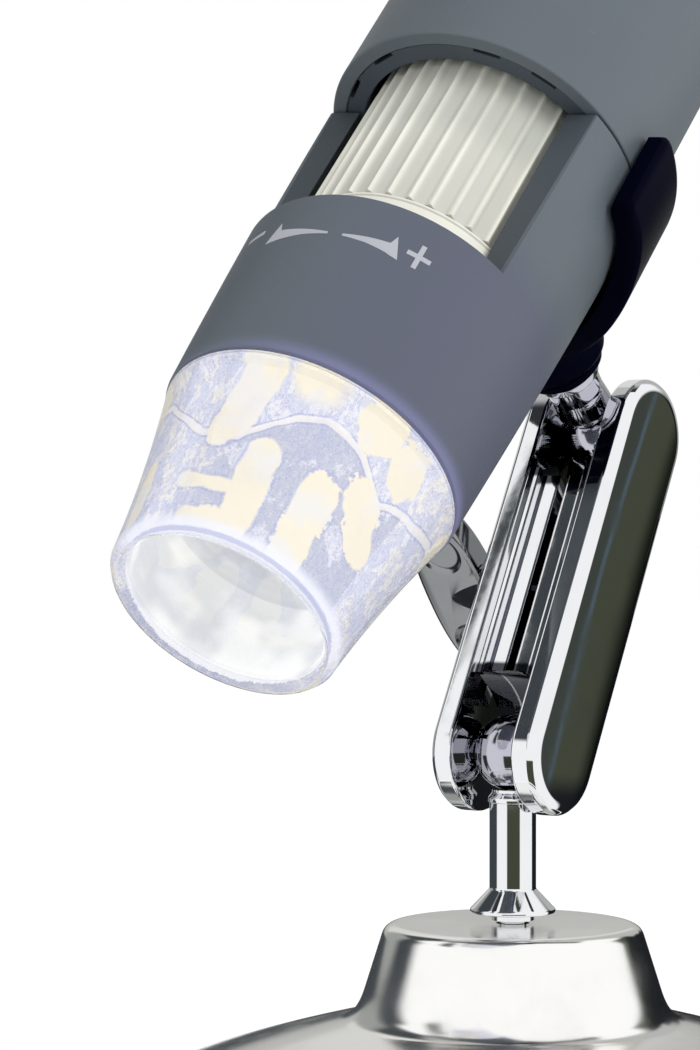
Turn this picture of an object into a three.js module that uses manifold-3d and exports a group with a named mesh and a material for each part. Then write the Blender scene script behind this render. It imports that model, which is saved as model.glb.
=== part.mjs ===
// Handheld digital microscope in the clip of a chrome stand with two clamped ball joints.
// Millimetres, +Z up. The origin is the middle of the foot pad's underside, on the post's axis.
// The post, the arm and the microscope's axis lie in the plane Y = 0. The arm's plates face
// along Y, and the microscope's nose points to -X and down.
import * as THREE from 'three';
import { mergeVertices } from 'three/addons/utils/BufferGeometryUtils.js';
import Module from 'manifold-3d';

const wasm = await Module();
wasm.setup();

// Fits shared by all pieces
const seatGap = 0.3; // between two pieces that seat on each other
const runGap = 0.35; // round what turns or slides
const overrun = 1; // how far a cut passes the face that it opens
const mergeTolerance = 0.0001; // points closer than this are one point

// Facets round the circle
const largeFacets = 36;
const mediumFacets = 20;
const smallFacets = 16;
const tinyFacets = 8;
const hiddenBendSteps = 2; // along an edge inside
const bendSteps = 3; // along a small rounded edge
const fineBendSteps = 4; // along a rounded edge that shows
const brimSteps = 6; // along the brim
const hiddenBrimSteps = 4; // along the brim's inside
const capBendSteps = 5; // along the end cap's dome
const stadiumSteps = 8; // round each end of an arm plate
const skinSteps = 6; // along the front housing
const capSkinSteps = 5; // along the clear cap
const clipSteps = 20; // round the clip

// Base: a hat-shaped chrome shell over a steel weight, on a rubber pad
const baseRadius = 36;
const brimEdgeHeight = 1;
const brimRootRadius = 17.6;
const brimRootHeight = 6.6;
const brimShoulder = 6.5;
const brimShoulderHeight = 3.7;
const hatFootRadius = 15.1;
const hatFootHeight = 9.7;
const hatTopRadius = 13;
const hatTopHeight = 16.45;
const hatTopRound = 0.9;
const hatCrown = 0.3;
const shellWall = 1.2;
const padThickness = 1.5;
const padInset = 5;
const weightFlangeRadius = 21;
const weightFlangeThickness = 1.8;

// Post with its cone-shaped foot, held by a screw from below
const postRadius = 2.37;
const postFootHeight = 17.55;
const postSpigotRadius = 2.2;
const coneRadius = 4.35;
const coneEdge = 0.35;
const coneHeight = 2.45;
const postCollarRadius = 2.5;
const postCollarHeight = 0.5;
const postCollarDrop = 5;
const postNeckRadius = 2.1;
const baseScrewRadius = 1.4;
const baseScrewHeadRadius = 3;
const baseScrewHeadHeight = 2.2;
const baseScrewReach = 7;

// Ball joints
const ballRadius = 3.9;
const lowerBallHeight = 33.75;

// Arm: two mirrored halves round the balls, drawn together by a wing screw
const armReach = 36.55;
const armLean = 28.25; // degrees from upright
const armHalfWidth = 6.1;
const armHalfDepth = 6.35;
const plateInnerFace = 3.6;
const plateShoulder = 0.85;
const plateShoulderInset = 1;
const plateEdgeRound = 0.2;
const plateFaceEdge = 0.4;
const shoulderInsetShare = 0.33; // the shoulder's bulge, as shares of its inset and depth
const shoulderDepthShare = 0.67;
const ribInnerFace = 0.48;
const ribStepFace = 2.6;
const ribHalfWidth = 4.6;
const ribStepHalfWidth = 5.4;
const ribEndClearance = 8.4; // radius round each ball that the ribs leave free
const clampScrewRadius = 1.5;
const clampScrewFloor = 1; // wall left under the near half's blind hole
const washerRadius = 3.1;
const washerThickness = 0.5;
const wingHubRadius = 2.7;
const wingHubLip = 0.8;
const wingNeck = 0.2;
const wingHalfLength = 10.8;
const wingHalfReach = 4.05;
const wingHalfThickness = 1.5;
const wingEdgeRound = 0.45;
const wingOvalPower = 0.85; // under 1 the oval is squarer than an ellipse
const wingTurn = -38; // degrees from upright
const wingScrewSeat = 5;
const wingMarkPlace = 6.1; // from the screw's axis to each thumb mark
const wingMarkRadius = 2.2;
const wingMarkRim = 2.7;
const wingMarkDepth = 0.35;

// Head: neck, collar and clip between the upper ball and the barrel
const scopeRise = 45.87; // degrees that the barrel's axis rises from level
const seamOffset = 3.48; // how far the barrel's seam lies behind the stem
const scopeRoll = 5.5; // degrees that the barrel is turned in its clip
const clipWall = 2.4;
const clipTop = 4.5;
const clipJawBottom = 6.4;
const clipHeelBottom = 9.6;
const clipJawAngle = 86; // degrees from the stem to each jaw's tip
const clipEdgeRound = 0.8;
const clipNarrowingShares = [0.35, 0.85]; // of the way to each jaw's tip
const clipCornerShare = 0.33; // place of each rounded edge's middle point, of its round
const bossFlareShare = 0.33; // of the boss's reach, where it starts to widen
const bossRadius = 5.3;
const bossRootRadius = 5.6;
const bossReach = 7.3; // from the barrel's skin to the boss's face
const bossRound = 1.3;
const collarRadius = 4.35;
const collarThickness = 1.2;
const neckFlangeRadius = 3.3;
const neckFlangeThickness = 0.8;
const neckRadius = 2.85;
const neckRootRadius = 3;
const neckReach = 9.84; // from the ball's centre to the neck's face
const neckRootReach = 4.7; // from the ball's centre
const stemShankRadius = 1.9;
const stemShankReach = 5.5;

// Barrel: front housing, rear housing and end cap
const noseRadius = 15;
const seamRadius = 16.5;
const rearRadius = 16.7;
const barrelFullness = 0.4;
const frontLength = 41.9;
const rearLength = 38;
const seamGroove = 0.3;
const noseEdgeRound = 0.4;
const frontBore = 13.5;
const rearWall = 1.5;
const windowLength = 22.5;
const windowPlane = 6.5; // distance of the window's flat sides from the axis
const webThickness = 1.1;
const webBore = 10.4;
const ledgeBore = 12.3;
const ledgeThickness = 1;
const capSpigotLength = 3.1;
const ledBoardThickness = 1.2;
const endCapLength = 9.2;
const endCapTopRadius = 9.5;
const endCapWall = 2;
const endSpigotLength = 3.4;
const endSpigotWall = 1.8;
const glandRadius = 3.6;
const glandFlangeRadius = 4.9;
const glandFlangeThickness = 1.5;
const glandBore = 1.8;
const glandDepth = 3.4;

// Clear nose cap with a pocket for each lamp
const capLength = 18.9;
const capTipRadius = 11.3;
const capShoulderRadius = 14.8;
const capWaist = 0.7;
const capWall = 1.4;
const capLipRound = 0.7;
const capGuideLength = 9.4;
const capGuideBore = 7.9;
const capSpigotRadius = 13.2;
const capSpigotWall = 1.2;

// Lamps on their ring board
const lampCount = 8;
const lampCircleRadius = 10;
const lampRadius = 1.5;
const lampLength = 4.6;
const lampPocketGap = 0.35;
const ledBoardBore = 7.2;

// Focus wheel and the lens barrel that it moves
const wheelRadius = 12.55;
const wheelRibDepth = 0.65;
const wheelRibCount = 36;
const wheelRibSteps = 4;
const wheelLipLength = 4.2;
const wheelLipGroove = 0.35;
const wheelBore = 9;
const wheelTop = 3.2;
const innerCollarWall = 1.6;
const innerCollarRecess = 0.2;
const innerCollarLength = 5.4;
const notchPairs = 5;
const notchSpread = 12; // degrees from a pair's middle to each of its notches
const notchTurn = -3; // degrees from the clip to the first pair's middle
const notchWidth = 2.8;
const notchDepth = 0.5;
const notchLength = 1.8;
const lensBarrelWall = 1.3;
const lensBarrelFront = 25;
const lensBarrelLength = 22;
const lensRadius = 6.6;
const lensEdge = 1.6;
const lensBulge = 1.3;
const lensRim = 1.3;
const lensLedge = 1;
const retainerWall = 1.2;
const retainerThickness = 1.6;
const rearLensInset = 4;

// Boards behind the wheel, and the snapshot button
const boardThickness = 1.6;
const sensorSize = 8;
const sensorThickness = 1.2;
const controlBoardHalfWidth = 9;
const controlBoardLength = 25;
const buttonBack = 9; // from the rear housing's end
const buttonPlace = rearLength - buttonBack;
const buttonRadius = 3.4;
const buttonFlangeRadius = 4.4;
const buttonFlangeThickness = 0.8;
const buttonProud = 0.7;
const buttonDish = 0.35;
const buttonTravel = 0.6;
const switchSize = 6;
const switchHeight = 2.4;

// Finishes
const housingGrey = new THREE.MeshStandardMaterial({ color: 0x5d646e, roughness: 0.55, metalness: 0 });
const clipBlack = new THREE.MeshStandardMaterial({ color: 0x0c0d12, roughness: 0.35, metalness: 0 });
const chrome = new THREE.MeshStandardMaterial({ color: 0xd8dade, roughness: 0.06, metalness: 1 });
const steel = new THREE.MeshStandardMaterial({ color: 0x8a8c90, roughness: 0.4, metalness: 1 });
const padRubber = new THREE.MeshStandardMaterial({ color: 0x17181a, roughness: 0.85, metalness: 0 });
const wheelIvory = new THREE.MeshStandardMaterial({ color: 0xd9d8cd, roughness: 0.45, metalness: 0 });
const collarGrey = new THREE.MeshStandardMaterial({ color: 0x3e444c, roughness: 0.6, metalness: 0 });
const clearPlastic = new THREE.MeshStandardMaterial({ color: 0xe9edf7, roughness: 0.08, metalness: 0 });
const lampWhite = new THREE.MeshStandardMaterial({ color: 0xfff6dc, roughness: 0.25, metalness: 0 });
const lensGlass = new THREE.MeshStandardMaterial({ color: 0xc4d2dc, roughness: 0.03, metalness: 0 });
const innerBlack = new THREE.MeshStandardMaterial({ color: 0x15161a, roughness: 0.6, metalness: 0 });
const boardGreen = new THREE.MeshStandardMaterial({ color: 0x1d5a34, roughness: 0.5, metalness: 0 });
const boardWhite = new THREE.MeshStandardMaterial({ color: 0xe8e9e6, roughness: 0.5, metalness: 0 });

// Makes a closed solid of any three.js geometry, with its faces pointing out
function solid(geometry) {
  const bare = new THREE.BufferGeometry();
  bare.setAttribute('position', geometry.getAttribute('position'));
  bare.setIndex(geometry.getIndex());
  const merged = mergeVertices(bare, mergeTolerance);
  const points = merged.getAttribute('position');
  const index = merged.getIndex().array;
  const corner = [new THREE.Vector3(), new THREE.Vector3(), new THREE.Vector3()];
  const triangles = [];
  let volume = 0;
  for (let i = 0; i < index.length; i += 3) {
    const [a, b, c] = [index[i], index[i + 1], index[i + 2]];
    if (a !== b && b !== c && c !== a) {
      triangles.push(a, b, c);
      corner[0].fromBufferAttribute(points, a);
      corner[1].fromBufferAttribute(points, b);
      corner[2].fromBufferAttribute(points, c);
      volume += corner[0].dot(corner[1].cross(corner[2]));
    }
  }
  if (volume < 0) triangles.reverse();
  return new wasm.Manifold(new wasm.Mesh({
    numProp: 3,
    vertProperties: new Float32Array(points.array),
    triVerts: new Uint32Array(triangles),
  }));
}

// Revolves a profile of [radius, height] pairs or Vector2 points about Z
function turned(profile, facets) {
  const points = profile.map((p) => (p.isVector2 ? p : new THREE.Vector2(p[0], p[1])));
  const onAxis = points[0].x === 0 && points[points.length - 1].x === 0;
  if (!onAxis) points.push(points[0].clone());
  return solid(new THREE.LatheGeometry(points, facets).rotateX(Math.PI / 2));
}

// Points of a quarter-like bend from one point to another, drawn towards a corner point
function bend(from, corner, to, steps) {
  const curve = new THREE.QuadraticBezierCurve(
    new THREE.Vector2(...from),
    new THREE.Vector2(...corner),
    new THREE.Vector2(...to),
  );
  return curve.getPoints(steps);
}

// Skins a row of convex rings that have as many points each, and closes both ends
function loft(rings) {
  const count = rings[0].length;
  const positions = rings.flat().flatMap((p) => [p.x, p.y, p.z]);
  const index = [];
  for (let r = 0; r + 1 < rings.length; r += 1) {
    for (let i = 0; i < count; i += 1) {
      const [a, b] = [r * count + i, r * count + ((i + 1) % count)];
      index.push(a, b, a + count, b, b + count, a + count);
    }
  }
  const last = (rings.length - 1) * count;
  for (let i = 1; i + 1 < count; i += 1) {
    index.push(0, i + 1, i);
    index.push(last, last + i, last + i + 1);
  }
  const geometry = new THREE.BufferGeometry();
  geometry.setAttribute('position', new THREE.Float32BufferAttribute(positions, 3));
  geometry.setIndex(index);
  return solid(geometry);
}

function box(x0, x1, y0, y1, z0, z1) {
  const geometry = new THREE.BoxGeometry(x1 - x0, y1 - y0, z1 - z0);
  return solid(geometry.translate((x0 + x1) / 2, (y0 + y1) / 2, (z0 + z1) / 2));
}

function rod(radius, z0, z1, facets) {
  return turned([[0, z0], [radius, z0], [radius, z1], [0, z1]], facets);
}

// Turns a solid made along Z so that it lies along X or Y
const alongX = (piece) => piece.rotate([0, 90, 0]);
const alongY = (piece) => piece.rotate([-90, 0, 0]);

function place(group, name, piece, finish, at = [0, 0, 0], turn = [0, 0, 0]) {
  const { vertProperties, triVerts } = piece.getMesh();
  const geometry = new THREE.BufferGeometry();
  geometry.setAttribute('position', new THREE.Float32BufferAttribute(vertProperties, 3));
  geometry.setIndex([...triVerts]);
  geometry.computeVertexNormals();
  const mesh = new THREE.Mesh(geometry, finish);
  mesh.name = name;
  mesh.position.set(...at);
  mesh.rotation.set(...turn);
  group.add(mesh);
}

// Base

// The hat's outline from the screw hole to the brim's edge, moved inwards by inset
function hatOutline(inset, holeRadius, steps, stepsOnBrim) {
  const top = hatTopHeight - inset;
  const rim = hatTopRadius - inset;
  const edge = rim - hatTopRound;
  const foot = hatFootRadius - inset;
  const root = brimRootRadius - inset;
  const rootHeight = brimRootHeight - inset;
  return [
    new THREE.Vector2(holeRadius, top),
    new THREE.Vector2(edge, top - hatCrown),
    ...bend([edge, top - hatCrown], [rim, top - hatCrown],
      [rim, top - hatCrown - hatTopRound], steps).slice(1),
    ...bend([foot, hatFootHeight], [foot + hatCrown, rootHeight], [root, rootHeight], steps),
    ...bend([root, rootHeight], [baseRadius - brimShoulder - inset, brimShoulderHeight - inset],
      [baseRadius - inset, brimEdgeHeight], stepsOnBrim).slice(1),
  ];
}

function baseShell() {
  const hole = baseScrewRadius + seatGap;
  const outside = hatOutline(0, hole, bendSteps, brimSteps);
  const inside = hatOutline(shellWall, hole, hiddenBendSteps, hiddenBrimSteps);
  return turned([...outside, ...inside.reverse()], largeFacets);
}

const weightFloor = padThickness + seatGap;

function baseWeight() {
  const hole = baseScrewRadius + seatGap;
  const headHole = baseScrewHeadRadius + seatGap;
  const headTop = weightFloor + baseScrewHeadHeight + seatGap;
  const inset = shellWall + seatGap;
  const top = hatTopHeight - inset;
  const flangeTop = weightFloor + weightFlangeThickness;
  return turned([
    [headHole, weightFloor],
    [weightFlangeRadius, weightFloor],
    [weightFlangeRadius, flangeTop],
    [hatFootRadius - inset - seatGap, flangeTop],
    [hatFootRadius - inset - seatGap, hatFootHeight],
    [hatTopRadius - inset - hatTopRound, top - hatTopRound],
    [hatTopRadius - inset - hatTopRound, top],
    [hole, top],
    [hole, headTop],
    [headHole, headTop],
  ], mediumFacets);
}

const postFloor = hatTopHeight + seatGap;
const cupRadius = ballRadius + seatGap;

function post() {
  const bore = baseScrewRadius + seatGap;
  const collarTop = lowerBallHeight - postCollarDrop + postCollarHeight;
  const cupTurn = Math.asin(postNeckRadius / cupRadius);
  const cup = new THREE.EllipseCurve(0, lowerBallHeight, cupRadius, cupRadius,
    cupTurn - Math.PI / 2, -Math.PI / 2, true);
  return turned([
    [0, postFloor + baseScrewReach],
    [bore, postFloor + baseScrewReach],
    [bore, postFloor],
    [postSpigotRadius, postFloor],
    [postSpigotRadius, postFootHeight],
    [coneRadius, postFootHeight],
    [coneRadius, postFootHeight + coneEdge],
    [postRadius, postFootHeight + coneHeight],
    [postRadius, collarTop - postCollarHeight],
    [postCollarRadius, collarTop - postCollarHeight],
    [postCollarRadius, collarTop],
    [postNeckRadius, collarTop + postCollarHeight],
    ...cup.getPoints(bendSteps).slice(0, -1),
    [0, lowerBallHeight - cupRadius],
  ], mediumFacets);
}

function baseScrew() {
  const headTop = weightFloor + baseScrewHeadHeight;
  return turned([
    [0, weightFloor],
    [baseScrewHeadRadius, weightFloor],
    [baseScrewHeadRadius, headTop],
    [baseScrewRadius, headTop],
    [baseScrewRadius, postFloor + baseScrewReach - seatGap],
    [0, postFloor + baseScrewReach - seatGap],
  ], smallFacets);
}

function ball() {
  return solid(new THREE.SphereGeometry(ballRadius, mediumFacets, mediumFacets / 2).rotateX(Math.PI / 2));
}

// Arm, in a frame whose Z runs from the lower ball to the upper one

// Ring of a stadium round both balls, at one depth, drawn in by inset
function stadium(inset, depth) {
  const radius = armHalfWidth - inset;
  const ring = [];
  for (const [centre, start] of [[armReach, 0], [0, Math.PI]]) {
    for (let i = 0; i <= stadiumSteps; i += 1) {
      const angle = start + (Math.PI * i) / stadiumSteps;
      ring.push(new THREE.Vector3(radius * Math.cos(angle), depth, centre + radius * Math.sin(angle)));
    }
  }
  return ring;
}

// One half with its plate on the +Y side, and a screw hole up to holeDepth
function armHalf(holeDepth) {
  const shoulder = armHalfDepth - plateShoulder;
  const plate = loft([
    stadium(plateEdgeRound, plateInnerFace),
    stadium(0, plateInnerFace + plateEdgeRound),
    stadium(0, shoulder),
    stadium(plateShoulderInset * shoulderInsetShare, shoulder + plateShoulder * shoulderDepthShare),
    stadium(plateShoulderInset, armHalfDepth - plateEdgeRound),
    stadium(plateShoulderInset + plateFaceEdge, armHalfDepth),
  ]);
  const section = new THREE.Shape();
  section.moveTo(-ribHalfWidth, ribInnerFace);
  section.lineTo(ribHalfWidth, ribInnerFace);
  section.lineTo(ribHalfWidth, ribStepFace);
  section.lineTo(ribStepHalfWidth, ribStepFace);
  section.lineTo(ribStepHalfWidth, plateInnerFace + overrun);
  section.lineTo(-ribStepHalfWidth, plateInnerFace + overrun);
  section.lineTo(-ribStepHalfWidth, ribStepFace);
  section.lineTo(-ribHalfWidth, ribStepFace);
  const rib = solid(new THREE.ExtrudeGeometry(section, { depth: armReach, bevelEnabled: false }));
  const pocketDepth = plateInnerFace;
  const clearance = alongY(rod(ribEndClearance, 0, pocketDepth, mediumFacets));
  const socket = solid(new THREE.SphereGeometry(ballRadius + runGap, smallFacets, tinyFacets));
  const ends = [0, armReach];
  const pockets = wasm.Manifold.union(ends.map((z) => clearance.translate([0, 0, z])));
  const sockets = wasm.Manifold.union(ends.map((z) => socket.translate([0, 0, z])));
  const hole = alongY(rod(clampScrewRadius + seatGap, 0, holeDepth, smallFacets));
  return plate.add(rib.subtract(pockets)).subtract(sockets).subtract(hole.translate([0, 0, armReach / 2]));
}

const washerFace = armHalfDepth + seatGap;
const wingFace = washerFace + washerThickness + seatGap;
const screwTip = armHalfDepth - clampScrewFloor - seatGap;

function clampScrew() {
  return alongY(rod(clampScrewRadius, -screwTip, wingFace + wingScrewSeat, smallFacets));
}

function washer() {
  const bore = clampScrewRadius + seatGap;
  return alongY(turned([
    [bore, washerFace],
    [washerRadius, washerFace],
    [washerRadius, washerFace + washerThickness],
    [bore, washerFace + washerThickness],
  ], smallFacets));
}

// Oval wing whose plane holds the screw's axis, with a round hub and a thumb mark at each end
function clampWing() {
  const centre = wingFace + wingNeck + wingHalfReach;
  const swell = (wave) => Math.sign(wave) * Math.abs(wave) ** wingOvalPower;
  const oval = (depth, inset) => {
    const ring = [];
    for (let i = 0; i < mediumFacets; i += 1) {
      const angle = (2 * Math.PI * i) / mediumFacets;
      ring.push(new THREE.Vector3(
        depth,
        centre + (wingHalfReach - inset) * swell(Math.cos(angle)),
        (wingHalfLength - inset) * swell(Math.sin(angle)),
      ));
    }
    return ring;
  };
  const shoulder = wingHalfThickness - wingEdgeRound;
  const plate = loft([
    oval(-wingHalfThickness, wingEdgeRound),
    oval(-shoulder, 0),
    oval(shoulder, 0),
    oval(wingHalfThickness, wingEdgeRound),
  ]);
  const hub = alongY(turned([
    [0, wingFace],
    [wingHubRadius, wingFace],
    [wingHubRadius, wingFace + wingHubLip],
    [wingHalfThickness, wingFace + wingScrewSeat],
    [0, wingFace + wingScrewSeat],
  ], smallFacets));
  const mark = alongX(turned([
    [0, wingHalfThickness - wingMarkDepth],
    [wingMarkRadius, wingHalfThickness - wingMarkDepth],
    [wingMarkRim, wingHalfThickness],
    [wingMarkRim, wingHalfThickness + overrun],
    [0, wingHalfThickness + overrun],
  ], smallFacets));
  const marks = [mark, mark.mirror([1, 0, 0])].flatMap((cut) => (
    [-wingMarkPlace, wingMarkPlace].map((z) => cut.translate([0, centre, z]))
  ));
  const seatEnd = wingFace + wingScrewSeat + seatGap;
  const seat = alongY(rod(clampScrewRadius + seatGap, wingFace - overrun, seatEnd, smallFacets));
  return plate.add(hub).subtract(wasm.Manifold.union([...marks, seat]));
}

// Head, in a frame at the upper ball whose -X points to the barrel and Z runs along it

const clipBore = rearRadius + runGap / 2;
const collarFace = neckReach + seatGap;
const bossFace = collarFace + collarThickness + seatGap;
const stemReach = bossFace + bossReach + seamRadius; // from the ball's centre to the barrel's axis

// The neck and its shank, with the ball's cup at the origin end
function neck() {
  const cupTurn = Math.asin(postNeckRadius / cupRadius);
  const cup = new THREE.EllipseCurve(0, 0, cupRadius, cupRadius, Math.PI / 2, Math.PI / 2 - cupTurn, true);
  const cupRim = cupRadius * Math.cos(cupTurn);
  return turned([
    ...cup.getPoints(bendSteps),
    [neckRootRadius, neckRootReach],
    [neckRadius, (neckRootReach + neckReach - neckFlangeThickness) / 2],
    [neckRootRadius, neckReach - neckFlangeThickness],
    [neckFlangeRadius, neckReach - neckFlangeThickness],
    [neckFlangeRadius, neckReach],
    [stemShankRadius, neckReach],
    [stemShankRadius, bossFace + stemShankReach],
    [0, bossFace + stemShankReach],
  ], mediumFacets).rotate([0, -90, 0]);
}

function bossCollar() {
  const bore = stemShankRadius + seatGap;
  return turned([
    [bore, collarFace],
    ...bend([collarRadius - collarThickness, collarFace], [collarRadius, collarFace],
      [collarRadius, collarFace + collarThickness / 2], bendSteps),
    [collarRadius, collarFace + collarThickness],
    [bore, collarFace + collarThickness],
  ], mediumFacets).rotate([0, -90, 0]);
}

// Spring clip: a band round the barrel's far side that narrows towards its jaws, and a boss
function clip() {
  const axisX = -stemReach;
  const outer = clipBore + clipWall;
  const jaw = THREE.MathUtils.degToRad(clipJawAngle);
  const rings = [];
  for (let i = 0; i <= clipSteps; i += 1) {
    const share = (2 * i) / clipSteps - 1;
    const angle = jaw * share;
    const drop = THREE.MathUtils.smoothstep(Math.abs(share), ...clipNarrowingShares);
    const atTip = Math.abs(share) === 1;
    const inset = atTip ? clipEdgeRound : 0;
    const low = -THREE.MathUtils.lerp(clipHeelBottom, clipJawBottom, drop) + seamOffset + inset;
    const high = clipTop + seamOffset - inset;
    const [inside, outside] = [clipBore + inset / 2, outer - inset / 2];
    const round = clipEdgeRound;
    const section = [
      [inside, low],
      [outside - round, low],
      [outside - round * clipCornerShare, low + round * clipCornerShare],
      [outside, low + round],
      [outside, high - round],
      [outside - round * clipCornerShare, high - round * clipCornerShare],
      [outside - round, high],
      [inside, high],
    ];
    rings.push(section.map(([radius, z]) => (
      new THREE.Vector3(axisX + radius * Math.cos(angle), radius * Math.sin(angle), z)
    )));
  }
  const root = stemReach - clipBore - clipWall / 2;
  const boss = turned([
    [0, bossFace],
    ...bend([bossRadius - bossRound, bossFace], [bossRadius, bossFace],
      [bossRadius, bossFace + bossRound], fineBendSteps),
    [bossRadius, bossFace + bossReach * bossFlareShare],
    [bossRootRadius, root],
    [0, root],
  ], mediumFacets).rotate([0, -90, 0]);
  const shankEnd = bossFace + stemShankReach + seatGap;
  const shankHole = rod(stemShankRadius + seatGap, bossFace - overrun, shankEnd, smallFacets);
  return loft(rings).add(boss).subtract(shankHole.rotate([0, -90, 0]));
}

// Barrel, in a frame on its own axis: Z = 0 at the seam, the nose at -Z, the clip at +X

// Radius of the barrel's skin at a place along it
function skinRadius(z) {
  if (z >= 0) return THREE.MathUtils.lerp(seamRadius, rearRadius, z / rearLength);
  const t = 1 + z / frontLength;
  const straight = THREE.MathUtils.lerp(noseRadius, seamRadius, t);
  return straight + 2 * t * (1 - t) * barrelFullness;
}

const ledgeFloor = -frontLength + capSpigotLength + seatGap + ledBoardThickness + seatGap;

function frontHousing() {
  const skin = [];
  for (let i = 0; i <= skinSteps; i += 1) {
    const z = THREE.MathUtils.lerp(-frontLength + noseEdgeRound, 0, i / skinSteps);
    skin.push([skinRadius(z), z]);
  }
  const housing = turned([
    [skinRadius(-frontLength) - noseEdgeRound, -frontLength],
    ...skin,
    [frontBore, 0],
    [frontBore, -windowLength],
    [webBore, -windowLength],
    [webBore, -windowLength - webThickness],
    [frontBore, -windowLength - webThickness],
    [frontBore, ledgeFloor + ledgeThickness],
    [ledgeBore, ledgeFloor + ledgeThickness],
    [ledgeBore, ledgeFloor],
    [frontBore, ledgeFloor],
    [frontBore, -frontLength],
  ], largeFacets);
  const reach = seamRadius + overrun;
  const window = box(-reach, -windowPlane, -reach, reach, -windowLength, overrun);
  return housing.subtract(window);
}

const rearBore = seamRadius - rearWall;

function rearHousing() {
  const shell = turned([
    [rearBore, seamGroove],
    [skinRadius(seamGroove), seamGroove],
    [rearRadius, rearLength],
    [rearBore, rearLength],
  ], largeFacets);
  const hole = alongX(rod(buttonRadius + runGap, -rearRadius - overrun, -buttonFlangeRadius, smallFacets));
  return shell.subtract(hole.translate([0, 0, buttonPlace]));
}

function endCap() {
  const floor = rearLength + seatGap;
  const top = floor + endCapLength;
  const hole = glandRadius + seatGap;
  const spigot = rearBore - seatGap;
  return turned([
    [hole, top - endCapWall],
    [hole, top],
    ...bend([endCapTopRadius, top], [rearRadius, top], [rearRadius, floor], capBendSteps),
    [spigot, floor],
    [spigot, floor - endSpigotLength],
    [spigot - endSpigotWall, floor - endSpigotLength],
    [spigot - endSpigotWall, floor],
    [endCapTopRadius - endCapWall, top - endCapWall],
  ], largeFacets);
}

function cordGland() {
  const top = rearLength + seatGap + endCapLength;
  return turned([
    [glandBore, top - glandDepth],
    [glandRadius, top - glandDepth],
    [glandRadius, top + seatGap],
    [glandFlangeRadius, top + seatGap],
    ...bend([glandFlangeRadius, top + seatGap + glandFlangeThickness / 2],
      [glandFlangeRadius, top + seatGap + glandFlangeThickness],
      [glandFlangeRadius - glandFlangeThickness, top + seatGap + glandFlangeThickness], bendSteps),
    [glandBore, top + seatGap + glandFlangeThickness],
  ], smallFacets);
}

const capFloor = -frontLength - seatGap;

// Radius of the clear cap's skin at a share of its length from the tip
function capRadius(share) {
  const straight = THREE.MathUtils.lerp(capTipRadius, capShoulderRadius, share);
  return straight - 2 * share * (1 - share) * capWaist;
}

function tipCap() {
  const tip = capFloor - capLength;
  const guideFloor = capFloor - capGuideLength;
  const guideShare = 1 - capGuideLength / capLength;
  const skin = [];
  for (let i = 0; i <= capSkinSteps; i += 1) {
    const share = i / capSkinSteps;
    skin.push([capRadius(share), tip + capLength * share]);
  }
  skin[0][1] += capLipRound;
  const spigotBore = capSpigotRadius - capSpigotWall;
  const cap = turned([
    [capTipRadius - capWall, tip + capLipRound],
    [capTipRadius - capWall / 2, tip],
    ...skin,
    [capSpigotRadius, capFloor],
    [capSpigotRadius, -frontLength + capSpigotLength],
    [spigotBore, -frontLength + capSpigotLength],
    [spigotBore, capFloor],
    [capGuideBore, capFloor],
    [capGuideBore, guideFloor + capLipRound],
    [capGuideBore + capLipRound, guideFloor],
    [capRadius(guideShare) - capWall, guideFloor],
  ], largeFacets);
  const pocketRadius = lampRadius + lampPocketGap;
  const pocketEnd = ledBoardFloor - lampLength - lampPocketGap;
  const pocket = turned([
    [0, pocketEnd],
    ...bend([pocketRadius / 2, pocketEnd], [pocketRadius, pocketEnd],
      [pocketRadius, pocketEnd + pocketRadius], hiddenBendSteps),
    [pocketRadius, capFloor + overrun],
    [0, capFloor + overrun],
  ], tinyFacets);
  return cap.subtract(wasm.Manifold.union(lampPlaces().map(([x, y]) => pocket.translate([x, y, 0]))));
}

const ledBoardFloor = -frontLength + capSpigotLength + seatGap;

function lampPlaces() {
  const places = [];
  for (let i = 0; i < lampCount; i += 1) {
    const angle = (2 * Math.PI * (i + 0.5)) / lampCount;
    places.push([lampCircleRadius * Math.cos(angle), lampCircleRadius * Math.sin(angle)]);
  }
  return places;
}

function ledBoard() {
  const edge = frontBore - seatGap;
  return turned([
    [ledBoardBore, ledBoardFloor],
    [edge, ledBoardFloor],
    [edge, ledBoardFloor + ledBoardThickness],
    [ledBoardBore, ledBoardFloor + ledBoardThickness],
  ], mediumFacets);
}

function lamp() {
  const top = ledBoardFloor - seatGap;
  const tip = ledBoardFloor - lampLength;
  return turned([
    [0, tip],
    ...bend([lampRadius / 2, tip], [lampRadius, tip], [lampRadius, tip + lampRadius], bendSteps),
    [lampRadius, top],
    [0, top],
  ], tinyFacets);
}

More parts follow.
